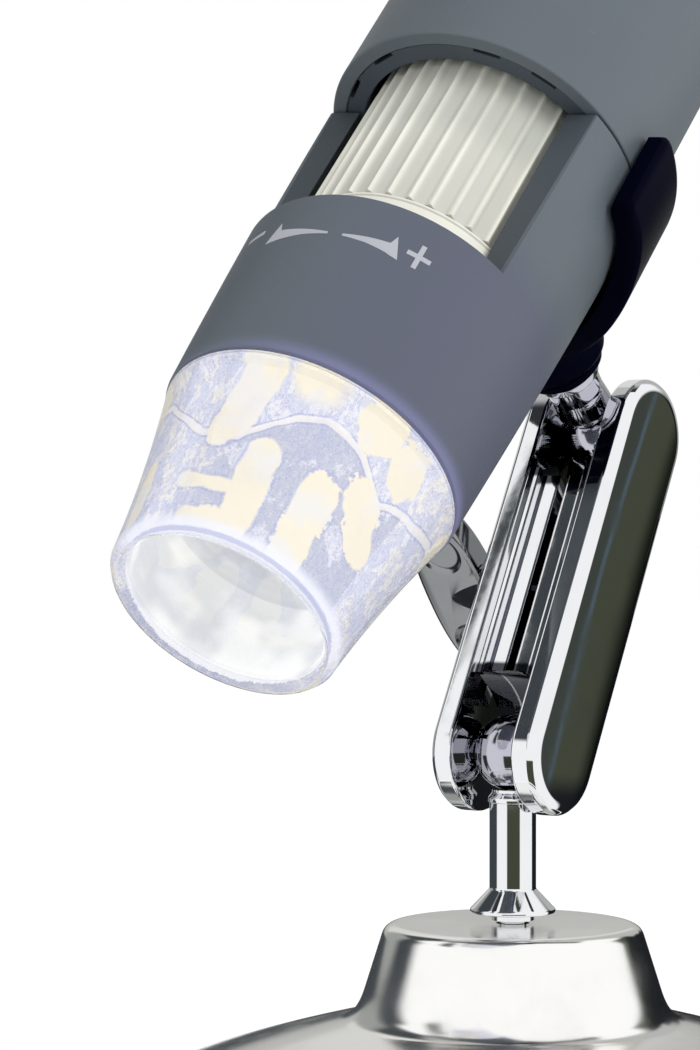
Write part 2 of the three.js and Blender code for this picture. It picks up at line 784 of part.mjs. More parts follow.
// Focus wheel: a drum with ribs along it, a groove and a plain lip at its nose end
function focusWheel() {
  const floor = -windowLength + seatGap;
  const lipTop = floor + wheelLipLength;
  const outline = new THREE.Shape();
  const count = wheelRibCount * wheelRibSteps;
  for (let i = 0; i < count; i += 1) {
    const angle = (2 * Math.PI * i) / count;
    const wave = (1 + Math.cos(wheelRibCount * angle)) / 2;
    const radius = wheelRadius - wheelRibDepth * (1 - wave ** 2);
    outline[i ? 'lineTo' : 'moveTo'](radius * Math.cos(angle), radius * Math.sin(angle));
  }
  const ribs = solid(new THREE.ExtrudeGeometry(outline, { depth: wheelTop - lipTop, bevelEnabled: false }));
  const root = wheelRadius - wheelRibDepth;
  const lip = turned([
    [0, floor],
    [wheelRadius, floor],
    [wheelRadius, lipTop - wheelLipGroove],
    [root, lipTop - wheelLipGroove],
    [root, lipTop + overrun],
    [0, lipTop + overrun],
  ], largeFacets);
  const bore = rod(wheelBore, floor - overrun, wheelTop + overrun, mediumFacets);
  return ribs.translate([0, 0, lipTop]).add(lip).subtract(bore);
}

const innerCollarFloor = seamGroove + innerCollarRecess;
const innerCollarTop = innerCollarFloor + innerCollarLength;

// Bearing ring that the wheel's rear end turns in, with pairs of notches round its outer edge
function innerCollar() {
  const outer = rearBore - seatGap;
  const inner = outer - innerCollarWall;
  const ring = turned([
    [inner, innerCollarFloor],
    [outer, innerCollarFloor],
    [outer, innerCollarTop],
    [inner, innerCollarTop],
  ], largeFacets);
  const notches = [];
  const notch = box(outer - notchDepth, outer + overrun, -notchWidth / 2, notchWidth / 2,
    innerCollarFloor - overrun, innerCollarFloor + notchLength);
  for (let i = 0; i < notchPairs; i += 1) {
    const middle = notchTurn + (360 * i) / notchPairs;
    for (const angle of [middle - notchSpread, middle + notchSpread]) {
      notches.push(notch.rotate([0, 0, angle]));
    }
  }
  return ring.subtract(wasm.Manifold.union(notches));
}

const lensBarrelRadius = wheelBore - runGap;
const lensBarrelBore = lensBarrelRadius - lensBarrelWall;

// Tube with an inner ledge near its front that the front lens rests on
function lensBarrel() {
  const floor = -lensBarrelFront;
  const ledge = floor + retainerThickness + lensEdge + seatGap * 2;
  return turned([
    [lensBarrelBore, floor],
    [lensBarrelRadius, floor],
    [lensBarrelRadius, floor + lensBarrelLength],
    [lensBarrelBore, floor + lensBarrelLength],
    [lensBarrelBore, ledge + lensLedge],
    [lensRadius - lensLedge, ledge + lensLedge],
    [lensRadius - lensLedge, ledge],
    [lensBarrelBore, ledge],
  ], mediumFacets);
}

// Biconvex lens with a flat rim, its lower rim face at Z = 0
function lens() {
  const rim = lensRadius - lensRim;
  return turned([
    ...bend([0, -lensBulge], [rim / 2, -lensBulge], [rim, 0], bendSteps),
    [lensRadius, 0],
    [lensRadius, lensEdge],
    ...bend([rim, lensEdge], [rim / 2, lensEdge + lensBulge], [0, lensEdge + lensBulge], bendSteps),
  ], mediumFacets);
}

// Ring that holds a lens in the tube, its lower face at Z = 0
function retainer() {
  const outer = lensBarrelBore - seatGap;
  return turned([
    [outer - retainerWall, 0],
    [outer, 0],
    [outer, retainerThickness],
    [outer - retainerWall, retainerThickness],
  ], mediumFacets);
}

const sensorBoardFloor = innerCollarTop + seatGap;
const sensorBoardTop = sensorBoardFloor + boardThickness;
const flangeTop = Math.sqrt(rearBore ** 2 - buttonFlangeRadius ** 2) - seatGap;
const flangeFloor = flangeTop - buttonFlangeThickness;
const switchTop = flangeFloor - buttonTravel - seatGap;
const controlBoardFace = switchTop - switchHeight - seatGap;

function snapButton() {
  const top = skinRadius(buttonPlace) + buttonProud;
  return turned([
    [0, flangeFloor],
    [buttonFlangeRadius, flangeFloor],
    [buttonFlangeRadius, flangeTop],
    [buttonRadius, flangeTop],
    ...bend([buttonRadius, top - buttonProud], [buttonRadius, top],
      [buttonRadius - buttonProud, top], bendSteps),
    [buttonRadius / 2, top - buttonDish / 2],
    [0, top - buttonDish],
  ], smallFacets).rotate([0, -90, 0]);
}

// Assembly

const part = new THREE.Group();

place(part, 'base_pad', rod(baseRadius - padInset, 0, padThickness, largeFacets), padRubber);
place(part, 'base_weight', baseWeight(), steel);
place(part, 'base_shell', baseShell(), chrome);
place(part, 'base_screw', baseScrew(), steel);
place(part, 'post', post(), chrome);
place(part, 'lower_ball', ball(), chrome, [0, 0, lowerBallHeight]);

const arm = new THREE.Group();
arm.position.set(0, 0, lowerBallHeight);
arm.rotation.y = THREE.MathUtils.degToRad(armLean);
part.add(arm);
const armMiddle = [0, 0, armReach / 2];
const wingAngle = THREE.MathUtils.degToRad(wingTurn - armLean);
place(arm, 'arm_far_half', armHalf(armHalfDepth + overrun), chrome);
place(arm, 'arm_near_half', armHalf(armHalfDepth - clampScrewFloor).mirror([0, 1, 0]), chrome);
place(arm, 'upper_ball', ball(), chrome, [0, 0, armReach]);
place(arm, 'clamp_screw', clampScrew(), steel, armMiddle);
place(arm, 'wing_washer', washer(), chrome, armMiddle);
place(arm, 'clamp_wing', clampWing(), chrome, armMiddle, [0, wingAngle, 0]);

const head = new THREE.Group();
const lean = THREE.MathUtils.degToRad(armLean);
head.position.set(armReach * Math.sin(lean), 0, lowerBallHeight + armReach * Math.cos(lean));
head.rotation.y = THREE.MathUtils.degToRad(90 - scopeRise);
part.add(head);
place(head, 'upper_neck', neck(), chrome);
place(head, 'boss_collar', bossCollar(), clipBlack);
place(head, 'clip_cradle', clip(), clipBlack);

const scope = new THREE.Group();
scope.position.set(-stemReach, 0, seamOffset);
scope.rotation.z = THREE.MathUtils.degToRad(scopeRoll);
head.add(scope);
place(scope, 'front_housing', frontHousing(), housingGrey);
place(scope, 'rear_housing', rearHousing(), housingGrey);
place(scope, 'end_cap', endCap(), housingGrey);
place(scope, 'cord_gland', cordGland(), innerBlack);
place(scope, 'tip_cap', tipCap(), clearPlastic);
place(scope, 'led_board', ledBoard(), boardWhite);
lampPlaces().forEach(([x, y], i) => place(scope, `led_${i + 1}`, lamp(), lampWhite, [x, y, 0]));
place(scope, 'inner_collar', innerCollar(), collarGrey);
place(scope, 'focus_wheel', focusWheel(), wheelIvory);

place(scope, 'lens_barrel', lensBarrel(), innerBlack);
const frontLensFloor = -lensBarrelFront + retainerThickness + seatGap;
const rearLensFloor = -lensBarrelFront + lensBarrelLength - rearLensInset;
place(scope, 'lens_retainer', retainer(), innerBlack, [0, 0, -lensBarrelFront]);
place(scope, 'front_lens', lens(), lensGlass, [0, 0, frontLensFloor]);
place(scope, 'rear_lens', lens(), lensGlass, [0, 0, rearLensFloor]);

const boardEdge = rearBore - seatGap;
const sensorBoard = rod(boardEdge, sensorBoardFloor, sensorBoardTop, mediumFacets);
place(scope, 'sensor_board', sensorBoard, boardGreen);
const chip = box(-sensorSize / 2, sensorSize / 2, -sensorSize / 2, sensorSize / 2,
  sensorBoardFloor - seatGap - sensorThickness, sensorBoardFloor - seatGap);
place(scope, 'image_sensor', chip, innerBlack);
const controlBoard = box(-controlBoardFace, boardThickness - controlBoardFace,
  -controlBoardHalfWidth, controlBoardHalfWidth,
  sensorBoardTop + seatGap, sensorBoardTop + seatGap + controlBoardLength);
place(scope, 'control_board', controlBoard, boardGreen);
const snapSwitch = box(-switchTop, switchHeight - switchTop, -switchSize / 2, switchSize / 2,
  buttonPlace - switchSize / 2, buttonPlace + switchSize / 2);
place(scope, 'snap_switch', snapSwitch, innerBlack);
place(scope, 'snap_button', snapButton(), clipBlack, [0, 0, buttonPlace]);

export default part;
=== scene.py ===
import math

import bmesh
import bpy
from mathutils import Matrix, Vector


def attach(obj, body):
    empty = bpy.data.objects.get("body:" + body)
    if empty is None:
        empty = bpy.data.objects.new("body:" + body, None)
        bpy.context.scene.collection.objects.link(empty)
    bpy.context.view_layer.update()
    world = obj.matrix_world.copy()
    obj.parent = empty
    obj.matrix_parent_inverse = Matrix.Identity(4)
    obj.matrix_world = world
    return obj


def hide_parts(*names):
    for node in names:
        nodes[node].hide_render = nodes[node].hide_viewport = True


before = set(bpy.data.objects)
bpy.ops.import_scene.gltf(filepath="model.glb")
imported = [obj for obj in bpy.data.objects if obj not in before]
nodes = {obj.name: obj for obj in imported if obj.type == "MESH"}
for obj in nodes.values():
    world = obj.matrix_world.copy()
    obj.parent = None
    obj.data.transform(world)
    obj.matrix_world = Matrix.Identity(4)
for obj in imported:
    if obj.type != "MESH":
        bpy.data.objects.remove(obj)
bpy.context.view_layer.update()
print("frame loaded:", len(nodes), "nodes")

mm = 0.001  # lengths below are in millimetres unless a note says otherwise
perMetre = 1 / mm


# Camera

view = {
    "place": (-0.283066, -0.182829, 0.060426),  # metres
    "right": (0.58316, -0.81236, 0.0),
    "up": (0.00851, 0.00611, 0.99995),
    "back": (-0.81231, -0.58313, 0.01047),
    "lens": 113.62,
    "film": 36.0,
    "near": 0.01,
    "far": 20.0,
}


def addObject(name, data):
    made = bpy.data.objects.new(name, data)
    bpy.context.scene.collection.objects.link(made)
    return made


def makeCamera():
    lens = bpy.data.cameras.new("camera")
    lens.lens = view["lens"]
    lens.sensor_width = view["film"]
    lens.clip_start = view["near"]
    lens.clip_end = view["far"]
    camera = addObject("camera", lens)
    turn = Matrix((view["right"], view["up"], view["back"])).transposed().to_4x4()
    camera.matrix_world = Matrix.Translation(view["place"]) @ turn
    bpy.context.scene.camera = camera


makeCamera()
print("camera ready")


# Shader maths: sockets that add their own Math nodes

def operator(operation, reflected=False):
    def apply(first, second):
        values = (second, first) if reflected else (first, second)
        return first.maths(operation, *values)
    return apply


class Wire:
    def __init__(self, tree, socket):
        self.tree = tree
        self.socket = socket

    def maths(self, operation, *values):
        return self.tree.node("ShaderNodeMath", {"operation": operation}, dict(enumerate(values)))

    __add__, __radd__ = operator("ADD"), operator("ADD", True)
    __sub__, __rsub__ = operator("SUBTRACT"), operator("SUBTRACT", True)
    __mul__, __rmul__ = operator("MULTIPLY"), operator("MULTIPLY", True)
    __truediv__, __rtruediv__ = operator("DIVIDE"), operator("DIVIDE", True)
    __pow__, __gt__, __lt__ = operator("POWER"), operator("GREATER_THAN"), operator("LESS_THAN")
    least, most = operator("MINIMUM"), operator("MAXIMUM")

    def __abs__(self):
        return self.maths("ABSOLUTE", self)

    def part(self):
        return self.maths("FRACT", self)

    def smooth(self, low, high, start=0.0, end=1.0):
        settings = {"interpolation_type": "SMOOTHSTEP", "clamp": True}
        values = {"Value": self, "From Min": low, "From Max": high, "To Min": start, "To Max": end}
        return self.tree.node("ShaderNodeMapRange", settings, values)


class Tree:
    def __init__(self, nodeTree):
        self.nodeTree = nodeTree
        self.nodeTree.nodes.clear()

    def node(self, kind, settings=None, values=None, out=0):
        made = self.nodeTree.nodes.new(kind)
        for key, value in (settings or {}).items():
            if key == "stops":
                made.color_ramp.interpolation = "LINEAR"
                ramp = made.color_ramp.elements
                ramp.remove(ramp[-1])
                ramp[0].position = value[0][0]
                for place, colour in value[1:]:
                    ramp.new(place)
                for element, (place, colour) in zip(ramp, value):
                    element.color = (*colour, 1.0)
            else:
                setattr(made, key, value)
        for key, value in (values or {}).items():
            socket = made.inputs[key]
            if isinstance(value, Wire):
                self.nodeTree.links.new(value.socket, socket)
            else:
                socket.default_value = value
        return Wire(self, made.outputs[out]) if len(made.outputs) else None

    def mix(self, factor, first, second):
        def asColour(value):
            return value if isinstance(value, Wire) else (*value, 1.0)
        values = {0: factor, 6: asColour(first), 7: asColour(second)}
        return self.node("ShaderNodeMix", {"data_type": "RGBA"}, values, out=2)

    def layered(self, colour, layers):  # each layer is a mask and the colour that goes over the ones before
        for mask, over in layers:
            colour = self.mix(mask, colour, over)
        return colour

    def noise(self, where, scale, detail=2.0, roughness=0.5):
        values = {"Vector": where, "Scale": scale, "Detail": detail, "Roughness": roughness}
        return self.node("ShaderNodeTexNoise", None, values)

    def axes(self, where, scale):
        parts = [self.node("ShaderNodeSeparateXYZ", None, {0: where}, out=i) for i in range(3)]
        return [part * scale for part in parts]

    def bump(self, height, strength, distance, normal=None):
        values = {"Height": height, "Strength": strength, "Distance": distance}
        if normal:
            values["Normal"] = normal
        return self.node("ShaderNodeBump", None, values)


def newFinish(name):
    material = bpy.data.materials.new(name)
    material.use_nodes = True
    return material, Tree(material.node_tree)


def closeFinish(tree, values):
    surface = tree.node("ShaderNodeBsdfPrincipled", None, values)
    tree.node("ShaderNodeOutputMaterial", None, {"Surface": surface})


def objectPlace(tree):
    return tree.node("ShaderNodeTexCoord", out="Object")


# Camera, mirror and glass rays, which meet the surroundings as plain white
def plainRays(tree):
    camera, mirror, glass = [tree.node("ShaderNodeLightPath", out=label)
                             for label in ("Is Camera Ray", "Is Glossy Ray", "Is Transmission Ray")]
    return camera.most(mirror).most(glass)


# Places of the moving frames, in millimetres

frames = {"lean": 28.25, "rise": 45.87, "roll": 5.5, "ballHeight": 33.75, "armReach": 36.55,
          "stemReach": 35.44, "seamOffset": 3.48}  # the first three in degrees
lean, rise = math.radians(frames["lean"]), math.radians(frames["rise"])
armFrame = Matrix.Translation((0, 0, frames["ballHeight"])) @ Matrix.Rotation(lean, 4, "Y")
upperBall = armFrame @ Vector((0, 0, frames["armReach"]))
headFrame = Matrix.Translation(upperBall) @ Matrix.Rotation(math.radians(90) - rise, 4, "Y")
scopeFrame = (headFrame @ Matrix.Translation((-frames["stemReach"], 0, frames["seamOffset"]))
              @ Matrix.Rotation(math.radians(frames["roll"]), 4, "Z"))
barrelAxis = (scopeFrame.to_3x3() @ Vector((0, 0, 1))).normalized()
barrelSide = (scopeFrame.to_3x3() @ Vector((1, 0, 0))).normalized()
barrelAcross = (scopeFrame.to_3x3() @ Vector((0, 1, 0))).normalized()
seam = scopeFrame.translation * mm
print("frames ready, seam at", [round(x, 5) for x in seam])


# Place along the barrel, distance from its axis and the two places across it, in millimetres
def barrelPlace(tree):
    place = objectPlace(tree)
    offset = tree.node("ShaderNodeVectorMath", {"operation": "SUBTRACT"}, {0: place, 1: tuple(seam)})

    def along(direction):
        values = {0: offset, 1: tuple(direction)}
        return tree.node("ShaderNodeVectorMath", {"operation": "DOT_PRODUCT"}, values, out=1) * perMetre

    s, x, y = along(barrelAxis), along(barrelSide), along(barrelAcross)
    return place, s, (x * x + y * y) ** 0.5, x, y


# Finishes

barrel = {"nose": 15.0, "seam": 16.5, "rear": 16.7, "fullness": 0.4, "front": 41.9, "back": 38.0,
          "bore": 13.5, "window": 22.5, "windowPlane": 6.5, "webBore": 10.4, "web": 1.1, "rearBore": 15.0}


def skinRadius(s):
    if s >= 0:
        return barrel["seam"] + (barrel["rear"] - barrel["seam"]) * s / barrel["back"]
    t = 1 + s / barrel["front"]
    return barrel["nose"] + (barrel["seam"] - barrel["nose"]) * t + 2 * t * (1 - t) * barrel["fullness"]


# the ring colour is a painted lavender tint of the lamps' light, the strip colour is painted shade on the
# window's sides, and the glow colour is a painted glow; the dust is real
housing = {"colour": (0.100, 0.121, 0.139), "ring": (0.090, 0.100, 0.143), "strip": (0.050, 0.063, 0.075),
           "glow": (0.26, 0.26, 0.52), "dust": (0.35, 0.37, 0.40), "skin": 0.2}


def makeHousingFinish(name, isFront):
    material, tree = newFinish(name)
    place, s, radius, _, y = barrelPlace(tree)
    cloud = tree.noise(place, 60.0, 2.0)
    grain = tree.noise(place, 5200.0, 3.0, 0.6)
    dust = tree.noise(place, 900.0, 4.0, 0.65)
    layers = [(cloud.smooth(0.35, 0.65), tuple(c * 1.05 for c in housing["colour"]))]
    lit = {}
    if isFront:  # painted light and shade: a lavender tint of the lamps' light on one side of the ring before the window, painted shade on the window's sides, and a painted glow of the lamps' light on the nose
        nose, front = barrel["nose"], barrel["front"]
        inside = radius < nose + (s + front) * ((barrel["seam"] - nose) / front) - housing["skin"]
        glow = s.smooth(2.0 - front, -front) * y.smooth(9.0, -9.0, 0.3, 1.0)
        layers += [(y.smooth(6.0, -13.0) * s.smooth(-16.0, -24.0), housing["ring"]),
                   (inside * (s > -barrel["window"] - 0.1), housing["strip"]),
                   (glow * 0.24, housing["glow"])]
        light = tree.mix(glow ** 2.0, (0, 0, 0), housing["glow"])
        lit = {"Emission Color": light, "Emission Strength": 0.16}
    layers.append((dust.smooth(0.66, 0.8) * 0.10, housing["dust"]))
    closeFinish(tree, {"Base Color": tree.layered(housing["colour"], layers), "Specular IOR Level": 0.45,
                       "Roughness": grain.smooth(0.2, 0.8, 0.44, 0.58),
                       "Normal": tree.bump(grain, 0.35, 0.00003), **lit})
    return material


chromeLook = {"colour": (0.86, 0.87, 0.89), "roughLow": 0.02, "roughHigh": 0.08, "wave": 0.00012,
              "pocket": 9.4, "pocketShadeColour": (0.03, 0.03, 0.045), "shadeColour": (0.02, 0.022, 0.02)}


# The arm's pockets round the balls get a painted dark shade, and a half with shade set gets painted shade
# that grows darker to one side
def makeChrome(name, tint=(1.0, 1.0, 1.0), wave=1.0, haze=0.0, pockets=False, shade=0.0):
    material, tree = newFinish(name)
    place = objectPlace(tree)
    smudge = tree.noise(place, 130.0, 4.0, 0.6)
    fine = tree.noise(place, 2600.0, 3.0, 0.6)
    slow = tree.noise(place, 85.0, 1.0)
    colour = tuple(c * t for c, t in zip(chromeLook["colour"], tint))
    layers = [(smudge.smooth(0.45, 0.8) * 0.5, tuple(c * 0.9 for c in colour))]
    rough = smudge.smooth(0.4, 0.75, chromeLook["roughLow"] + haze, chromeLook["roughHigh"] + haze * 1.3)
    if pockets:
        x, y, z = tree.axes(place, perMetre)
        low, high = [((x - centre.x) ** 2 + (z - centre.z) ** 2) ** 0.5
                     for centre in (Vector((0, 0, frames["ballHeight"])), upperBall)]
        near = low.least(high).smooth(chromeLook["pocket"], chromeLook["pocket"] - 0.4)
        across = x * math.cos(lean) - (z - frames["ballHeight"]) * math.sin(lean)
        # painted shade: dark in the pockets round the balls, and darker towards one side of the shaded half
        layers += [(near * abs(y).smooth(3.7, 3.4) * 0.96, chromeLook["pocketShadeColour"]),
                   (across.smooth(2.4, 6.2) * shade, chromeLook["shadeColour"])]
    normal = tree.bump(fine, 0.05, 0.000004, tree.bump(slow, 0.5 * wave, chromeLook["wave"]))
    closeFinish(tree, {"Base Color": tree.layered(colour, layers), "Metallic": 1.0, "Roughness": rough,
                       "Normal": normal})
    return material


def makeMoulded(name, colour, rough, grainSize, grainDepth, darker=0.85, specular=0.5):
    material, tree = newFinish(name)
    place = objectPlace(tree)
    cloud = tree.noise(place, 90.0, 3.0)
    grain = tree.noise(place, grainSize, 3.0, 0.6)
    base = tree.mix(cloud.smooth(0.3, 0.7), colour, tuple(c * darker for c in colour))
    closeFinish(tree, {"Base Color": base, "Specular IOR Level": specular,
                       "Roughness": grain.smooth(0.2, 0.8, rough * 0.85, min(1.0, rough * 1.15)),
                       "Normal": tree.bump(grain, 0.3, grainDepth)})
    return material


wheel = {"radius": 12.55, "depth": 0.5, "count": 36, "floor": -22.2, "lip": 4.2, "groove": 0.35, "top": 3.2,
         "bore": 9.0, "sharpness": 4.5}
# the valley, shade and groove colours are painted shade, and the cloud colour is the plastic's own tone
wheelLook = {"colour": (0.85, 0.84, 0.75), "valleyShade": (0.58, 0.58, 0.52), "cloud": (0.60, 0.60, 0.56),
             "shade": (0.42, 0.45, 0.40), "grooveShade": (0.34, 0.35, 0.30), "groove": -18.75}


def makeWheelFinish():
    material, tree = newFinish("wheelIvory")
    place, s, radius, *_ = barrelPlace(tree)
    cloud = tree.noise(place, 120.0, 3.0)
    grain = tree.noise(place, 4200.0, 3.0, 0.6)
    deep = radius.smooth(wheel["radius"] - 0.05, wheel["radius"] - wheel["depth"])
    groove = abs(s - wheelLook["groove"]).smooth(0.17, 0.09)
    # painted shade: darker in the valleys between the ribs, towards the top by the seam, and in a groove
    # line on the lip
    base = tree.layered(wheelLook["colour"], [
        (deep, wheelLook["valleyShade"]), (cloud.smooth(0.4, 0.7) * 0.25, wheelLook["cloud"]),
        (s.smooth(-9.5, -5.5) * 0.4, wheelLook["shade"]), (groove * 0.6, wheelLook["grooveShade"])])
    closeFinish(tree, {"Base Color": base, "Roughness": grain.smooth(0.2, 0.8, 0.36, 0.5),
                       "Normal": tree.bump(grain, 0.25, 0.00002)})
    return material


lampLook = {"cream": (1.0, 0.93, 0.78), "cloud": (0.96, 0.92, 0.84), "glow": 0.75}


def makeLampFinish():
    material, tree = newFinish("lampGlow")
    cloud = tree.noise(objectPlace(tree), 500.0, 3.0)
    warm = tree.mix(cloud.smooth(0.3, 0.7), lampLook["cream"], lampLook["cloud"])
    closeFinish(tree, {"Base Color": warm, "Roughness": cloud.smooth(0.0, 1.0, 0.25, 0.4),
                       "Emission Color": warm, "Emission Strength": lampLook["glow"]})
    return material


cap = {"length": 18.9, "tip": 11.3, "shoulder": 14.8, "waist": 0.7, "wall": 1.4, "floor": -42.2,
       "guide": 9.4, "guideBore": 7.9, "spigot": 13.2, "joint": -38.8}
capTip, capLedge = cap["floor"] - cap["length"], cap["floor"] - cap["guide"]


def capRadius(share):
    straight = cap["tip"] + (cap["shoulder"] - cap["tip"]) * share
    return straight - 2 * share * (1 - share) * cap["waist"]


# Places in the cap's pattern are degrees from the window's middle and millimetres along the barrel.
# A glow is its two ends and its half width.
capLook = {
    "clear": (0.945, 0.95, 0.985), "clearBlue": (0.84, 0.86, 1.0), "frost": (0.71, 0.73, 0.85),
    "deep": (0.32, 0.35, 0.62), "grey": (0.55, 0.57, 0.66), "pale": (0.87, 0.87, 0.91),
    "warm": (0.93, 0.90, 0.83), "cream": (0.94, 0.87, 0.70), "milk": (0.88, 0.87, 0.86),
    "speck": (0.93, 0.93, 0.97), "band": (0.93, 0.90, 0.86),
    "lip": (0.90, 0.91, 0.98), "mouth": (1.0, 1.0, 0.98), "mouthShade": (0.72, 0.74, 0.76),
    "body": 0.55, "glow": 0.57, "radius": 13.0, "hiddenHalf": 84.0, "ledgeLow": -52.0, "ledgeRange": 10.0,
    "glows": [((21.5, -51.6), (22.5, -60.4), 1.85), ((50.5, -52.6), (52.5, -60.4), 1.9),
              ((8.0, -42.8), (5.0, -47.3), 2.0), ((5.0, -47.3), (0.5, -49.6), 1.8),
              ((27.0, -42.9), (31.0, -43.3), 1.95), ((59.0, -43.4), (60.0, -44.0), 2.1),
              ((76.5, -44.6), (77.5, -45.6), 1.8), ((68.5, -49.6), (75.0, -51.3), 1.8),
              ((75.0, -51.3), (84.0, -53.4), 1.5), ((-9.5, -55.1), (15.0, -55.3), 0.7),
              ((-2.0, -58.7), (22.0, -58.4), 1.0), ((-52.0, -43.6), (-50.0, -44.6), 1.6),
              ((-38.0, -53.0), (-40.0, -58.0), 1.2)],
    "ledge": [(-90.0, -47.6), (-62.0, -45.4), (-39.0, -45.9), (-10.5, -50.1), (8.5, -50.0), (15.5, -48.9),
              (28.0, -46.9), (38.5, -46.0), (49.0, -46.2), (59.5, -47.0), (67.5, -48.1), (76.5, -49.1),
              (90.0, -47.6)],
}


def makeCapFinish():
    material, tree = newFinish("clearCap")
    place = objectPlace(tree)
    flow = tree.noise(place, 260.0, 4.0, 0.6)
    speck = tree.noise(place, 2600.0, 4.0, 0.7)
    base = tree.mix(flow.smooth(0.5, 0.65) * 0.5, capLook["clear"], capLook["clearBlue"])
    closeFinish(tree, {"Base Color": base, "Roughness": 0.02 + speck.smooth(0.56, 0.7) * 0.10,
                       "Normal": tree.bump(flow, 0.35, 0.0005), "IOR": 1.46, "Transmission Weight": 0.96})
    return material


def glowEdge(turn, s, arc):  # distance from the nearest glow's edge, in millimetres
    nearest = None
    for (turnA, sA), (turnB, sB), half in capLook["glows"]:
        across, along = (turnB - turnA) * arc, sB - sA
        square = across ** 2 + along ** 2
        u, v = (turn - turnA) * arc, s - sA
        share = (u * (across / square) + v * (along / square)).most(0.0).least(1.0)
        u, v = u - share * across, v - share * along
        edge = (u * u + v * v) ** 0.5 - half
        nearest = nearest.least(edge) if nearest else edge
    return nearest


# Frosted inside of the cap, with the lamps' light through it painted on and glowing from its surface: cream
# at a lamp or a light rib, lavender between
def makeCoreFinish():
    material, tree = newFinish("capFrost")
    place, s, radius, x, y = barrelPlace(tree)
    warp = tree.noise(place, 260.0, 1.0, 0.5) - 0.5
    fine = tree.noise(place, 1300.0, 3.0, 0.6) - 0.5
    flow = tree.noise(place, 330.0, 5.0, 0.65)
    scratch = tree.noise(place, 1500.0, 5.0, 0.75)
    speck = tree.noise(place, 5200.0, 3.0, 0.7)
    milk = tree.noise(place, 210.0, 2.0)
    soft = tree.noise(place, 150.0, 2.0)
    degrees = 180.0 / math.pi
    turn = y.maths("ARCTAN2", y, x) * degrees + 180.0  # from the window's middle towards the right
    hidden = abs(turn - 180.0) < capLook["hiddenHalf"]
    turn = (turn / 180.0 + 0.5).part() * 180.0 - 90.0  # the pattern comes twice round the cap
    parts = {0: turn * 0.05 + warp * 0.8, 1: s * 0.09, 2: warp * 0.5}
    streaks = tree.noise(tree.node("ShaderNodeCombineXYZ", None, parts), 5.0, 4.0, 0.7)

    # patches of light, sharp below and soft at the top
    far = glowEdge(turn, s, capLook["radius"] / degrees)
    ragged = turn.smooth(34.0, 60.0, 0.25, 1.0)
    far = far + warp * 1.8 + ragged * (fine * 0.5 - flow.smooth(0.50, 0.6) * far.smooth(1.6, 0.4) * 0.7)
    blur = s.smooth(-48.0, -45.5) * abs(turn - 31.0).smooth(15.0, 9.0) * 0.6 + 0.12
    blob = ((blur - far) / (blur * 2.0)).most(0.0).least(1.0) * (1.0 - hidden * s.smooth(-55.5, -57.0))
    outline = abs(far - 0.22).smooth(0.2, 0.04) * flow.smooth(0.46, 0.54) * s.smooth(-45.5, -48.0)
    creamy = tree.mix(milk.smooth(0.46, 0.62) * 0.7, capLook["cream"], capLook["milk"])

    # the ledge inside, as a pale band of painted light with painted dark shade at its edges
    low, span = capLook["ledgeLow"], capLook["ledgeRange"]
    stops = [((at + 90.0) / 180.0, ((level - low) / span,) * 3) for at, level in capLook["ledge"]]
    ledge = tree.node("ShaderNodeValToRGB", {"stops": stops}, {0: (turn + 90.0) / 180.0}) * span + low
    offLedge = s - ledge + warp * 1.2
    bandEdge = abs(abs(offLedge) - 0.5).smooth(0.14, 0.04) * flow.smooth(0.4, 0.5)

    # the mouth, seen through the skirt
    wall = capRadius((s - capTip) / cap["length"]) - cap["wall"]
    inside = (wall - radius).smooth(0.05, 0.2) * (s < capLedge + 1.0)
    inside = inside.most(radius < cap["guideBore"] + 0.7)
    mouth = tree.mix(soft.smooth(0.40, 0.64), capLook["mouth"], capLook["mouthShade"])

    light = tree.mix(turn.smooth(18.0, -6.0) * flow.smooth(0.42, 0.56), capLook["pale"], capLook["warm"])
    lit = tree.layered(capLook["frost"], [
        (streaks.smooth(0.4, 0.62), light),
        (offLedge.smooth(0.2, -0.2) * turn.smooth(-12.0, 6.0) * 0.85, capLook["grey"]),
        (flow.smooth(0.54, 0.60) * 0.8, light),
        (abs(scratch - 0.5).smooth(0.03, 0.0) * 0.5, capLook["deep"]),
        (abs(streaks - 0.5).smooth(0.018, 0.004) * 0.6, capLook["deep"]),
        (speck.smooth(0.6, 0.68) * 0.6, capLook["speck"]),
        (speck.smooth(0.40, 0.33) * 0.45, capLook["deep"]),
        (outline * 0.45, capLook["deep"]),
        (bandEdge * 0.5, capLook["deep"]),
        (abs(offLedge).smooth(0.42, 0.30) * 0.8, capLook["band"]),
        (blob, creamy),
        (s.smooth(-58.4, -59.7) * 0.95, capLook["lip"]),
        (abs(s + 59.95).smooth(0.22, 0.08) * 0.55, capLook["deep"]),
        (inside * 0.85, mouth),
    ])
    dim = tree.mix(1.0 - capLook["body"], lit, (0.0, 0.0, 0.0))
    closeFinish(tree, {"Base Color": dim, "Roughness": scratch.smooth(0.3, 0.7, 0.4, 0.7),
                       "Normal": tree.bump(scratch, 0.3, 0.0001), "Emission Color": lit,
                       "Emission Strength": capLook["glow"]})
    return material


def makeGlass(name, colour):
    material, tree = newFinish(name)
    film = tree.noise(objectPlace(tree), 300.0, 3.0)
    base = tree.mix(film.smooth(0.4, 0.7) * 0.3, colour, tuple(c * 0.9 for c in colour))
    closeFinish(tree, {"Base Color": base, "Roughness": film.smooth(0.0, 1.0, 0.0, 0.06), "IOR": 1.5,
                       "Transmission Weight": 0.9})
    return material


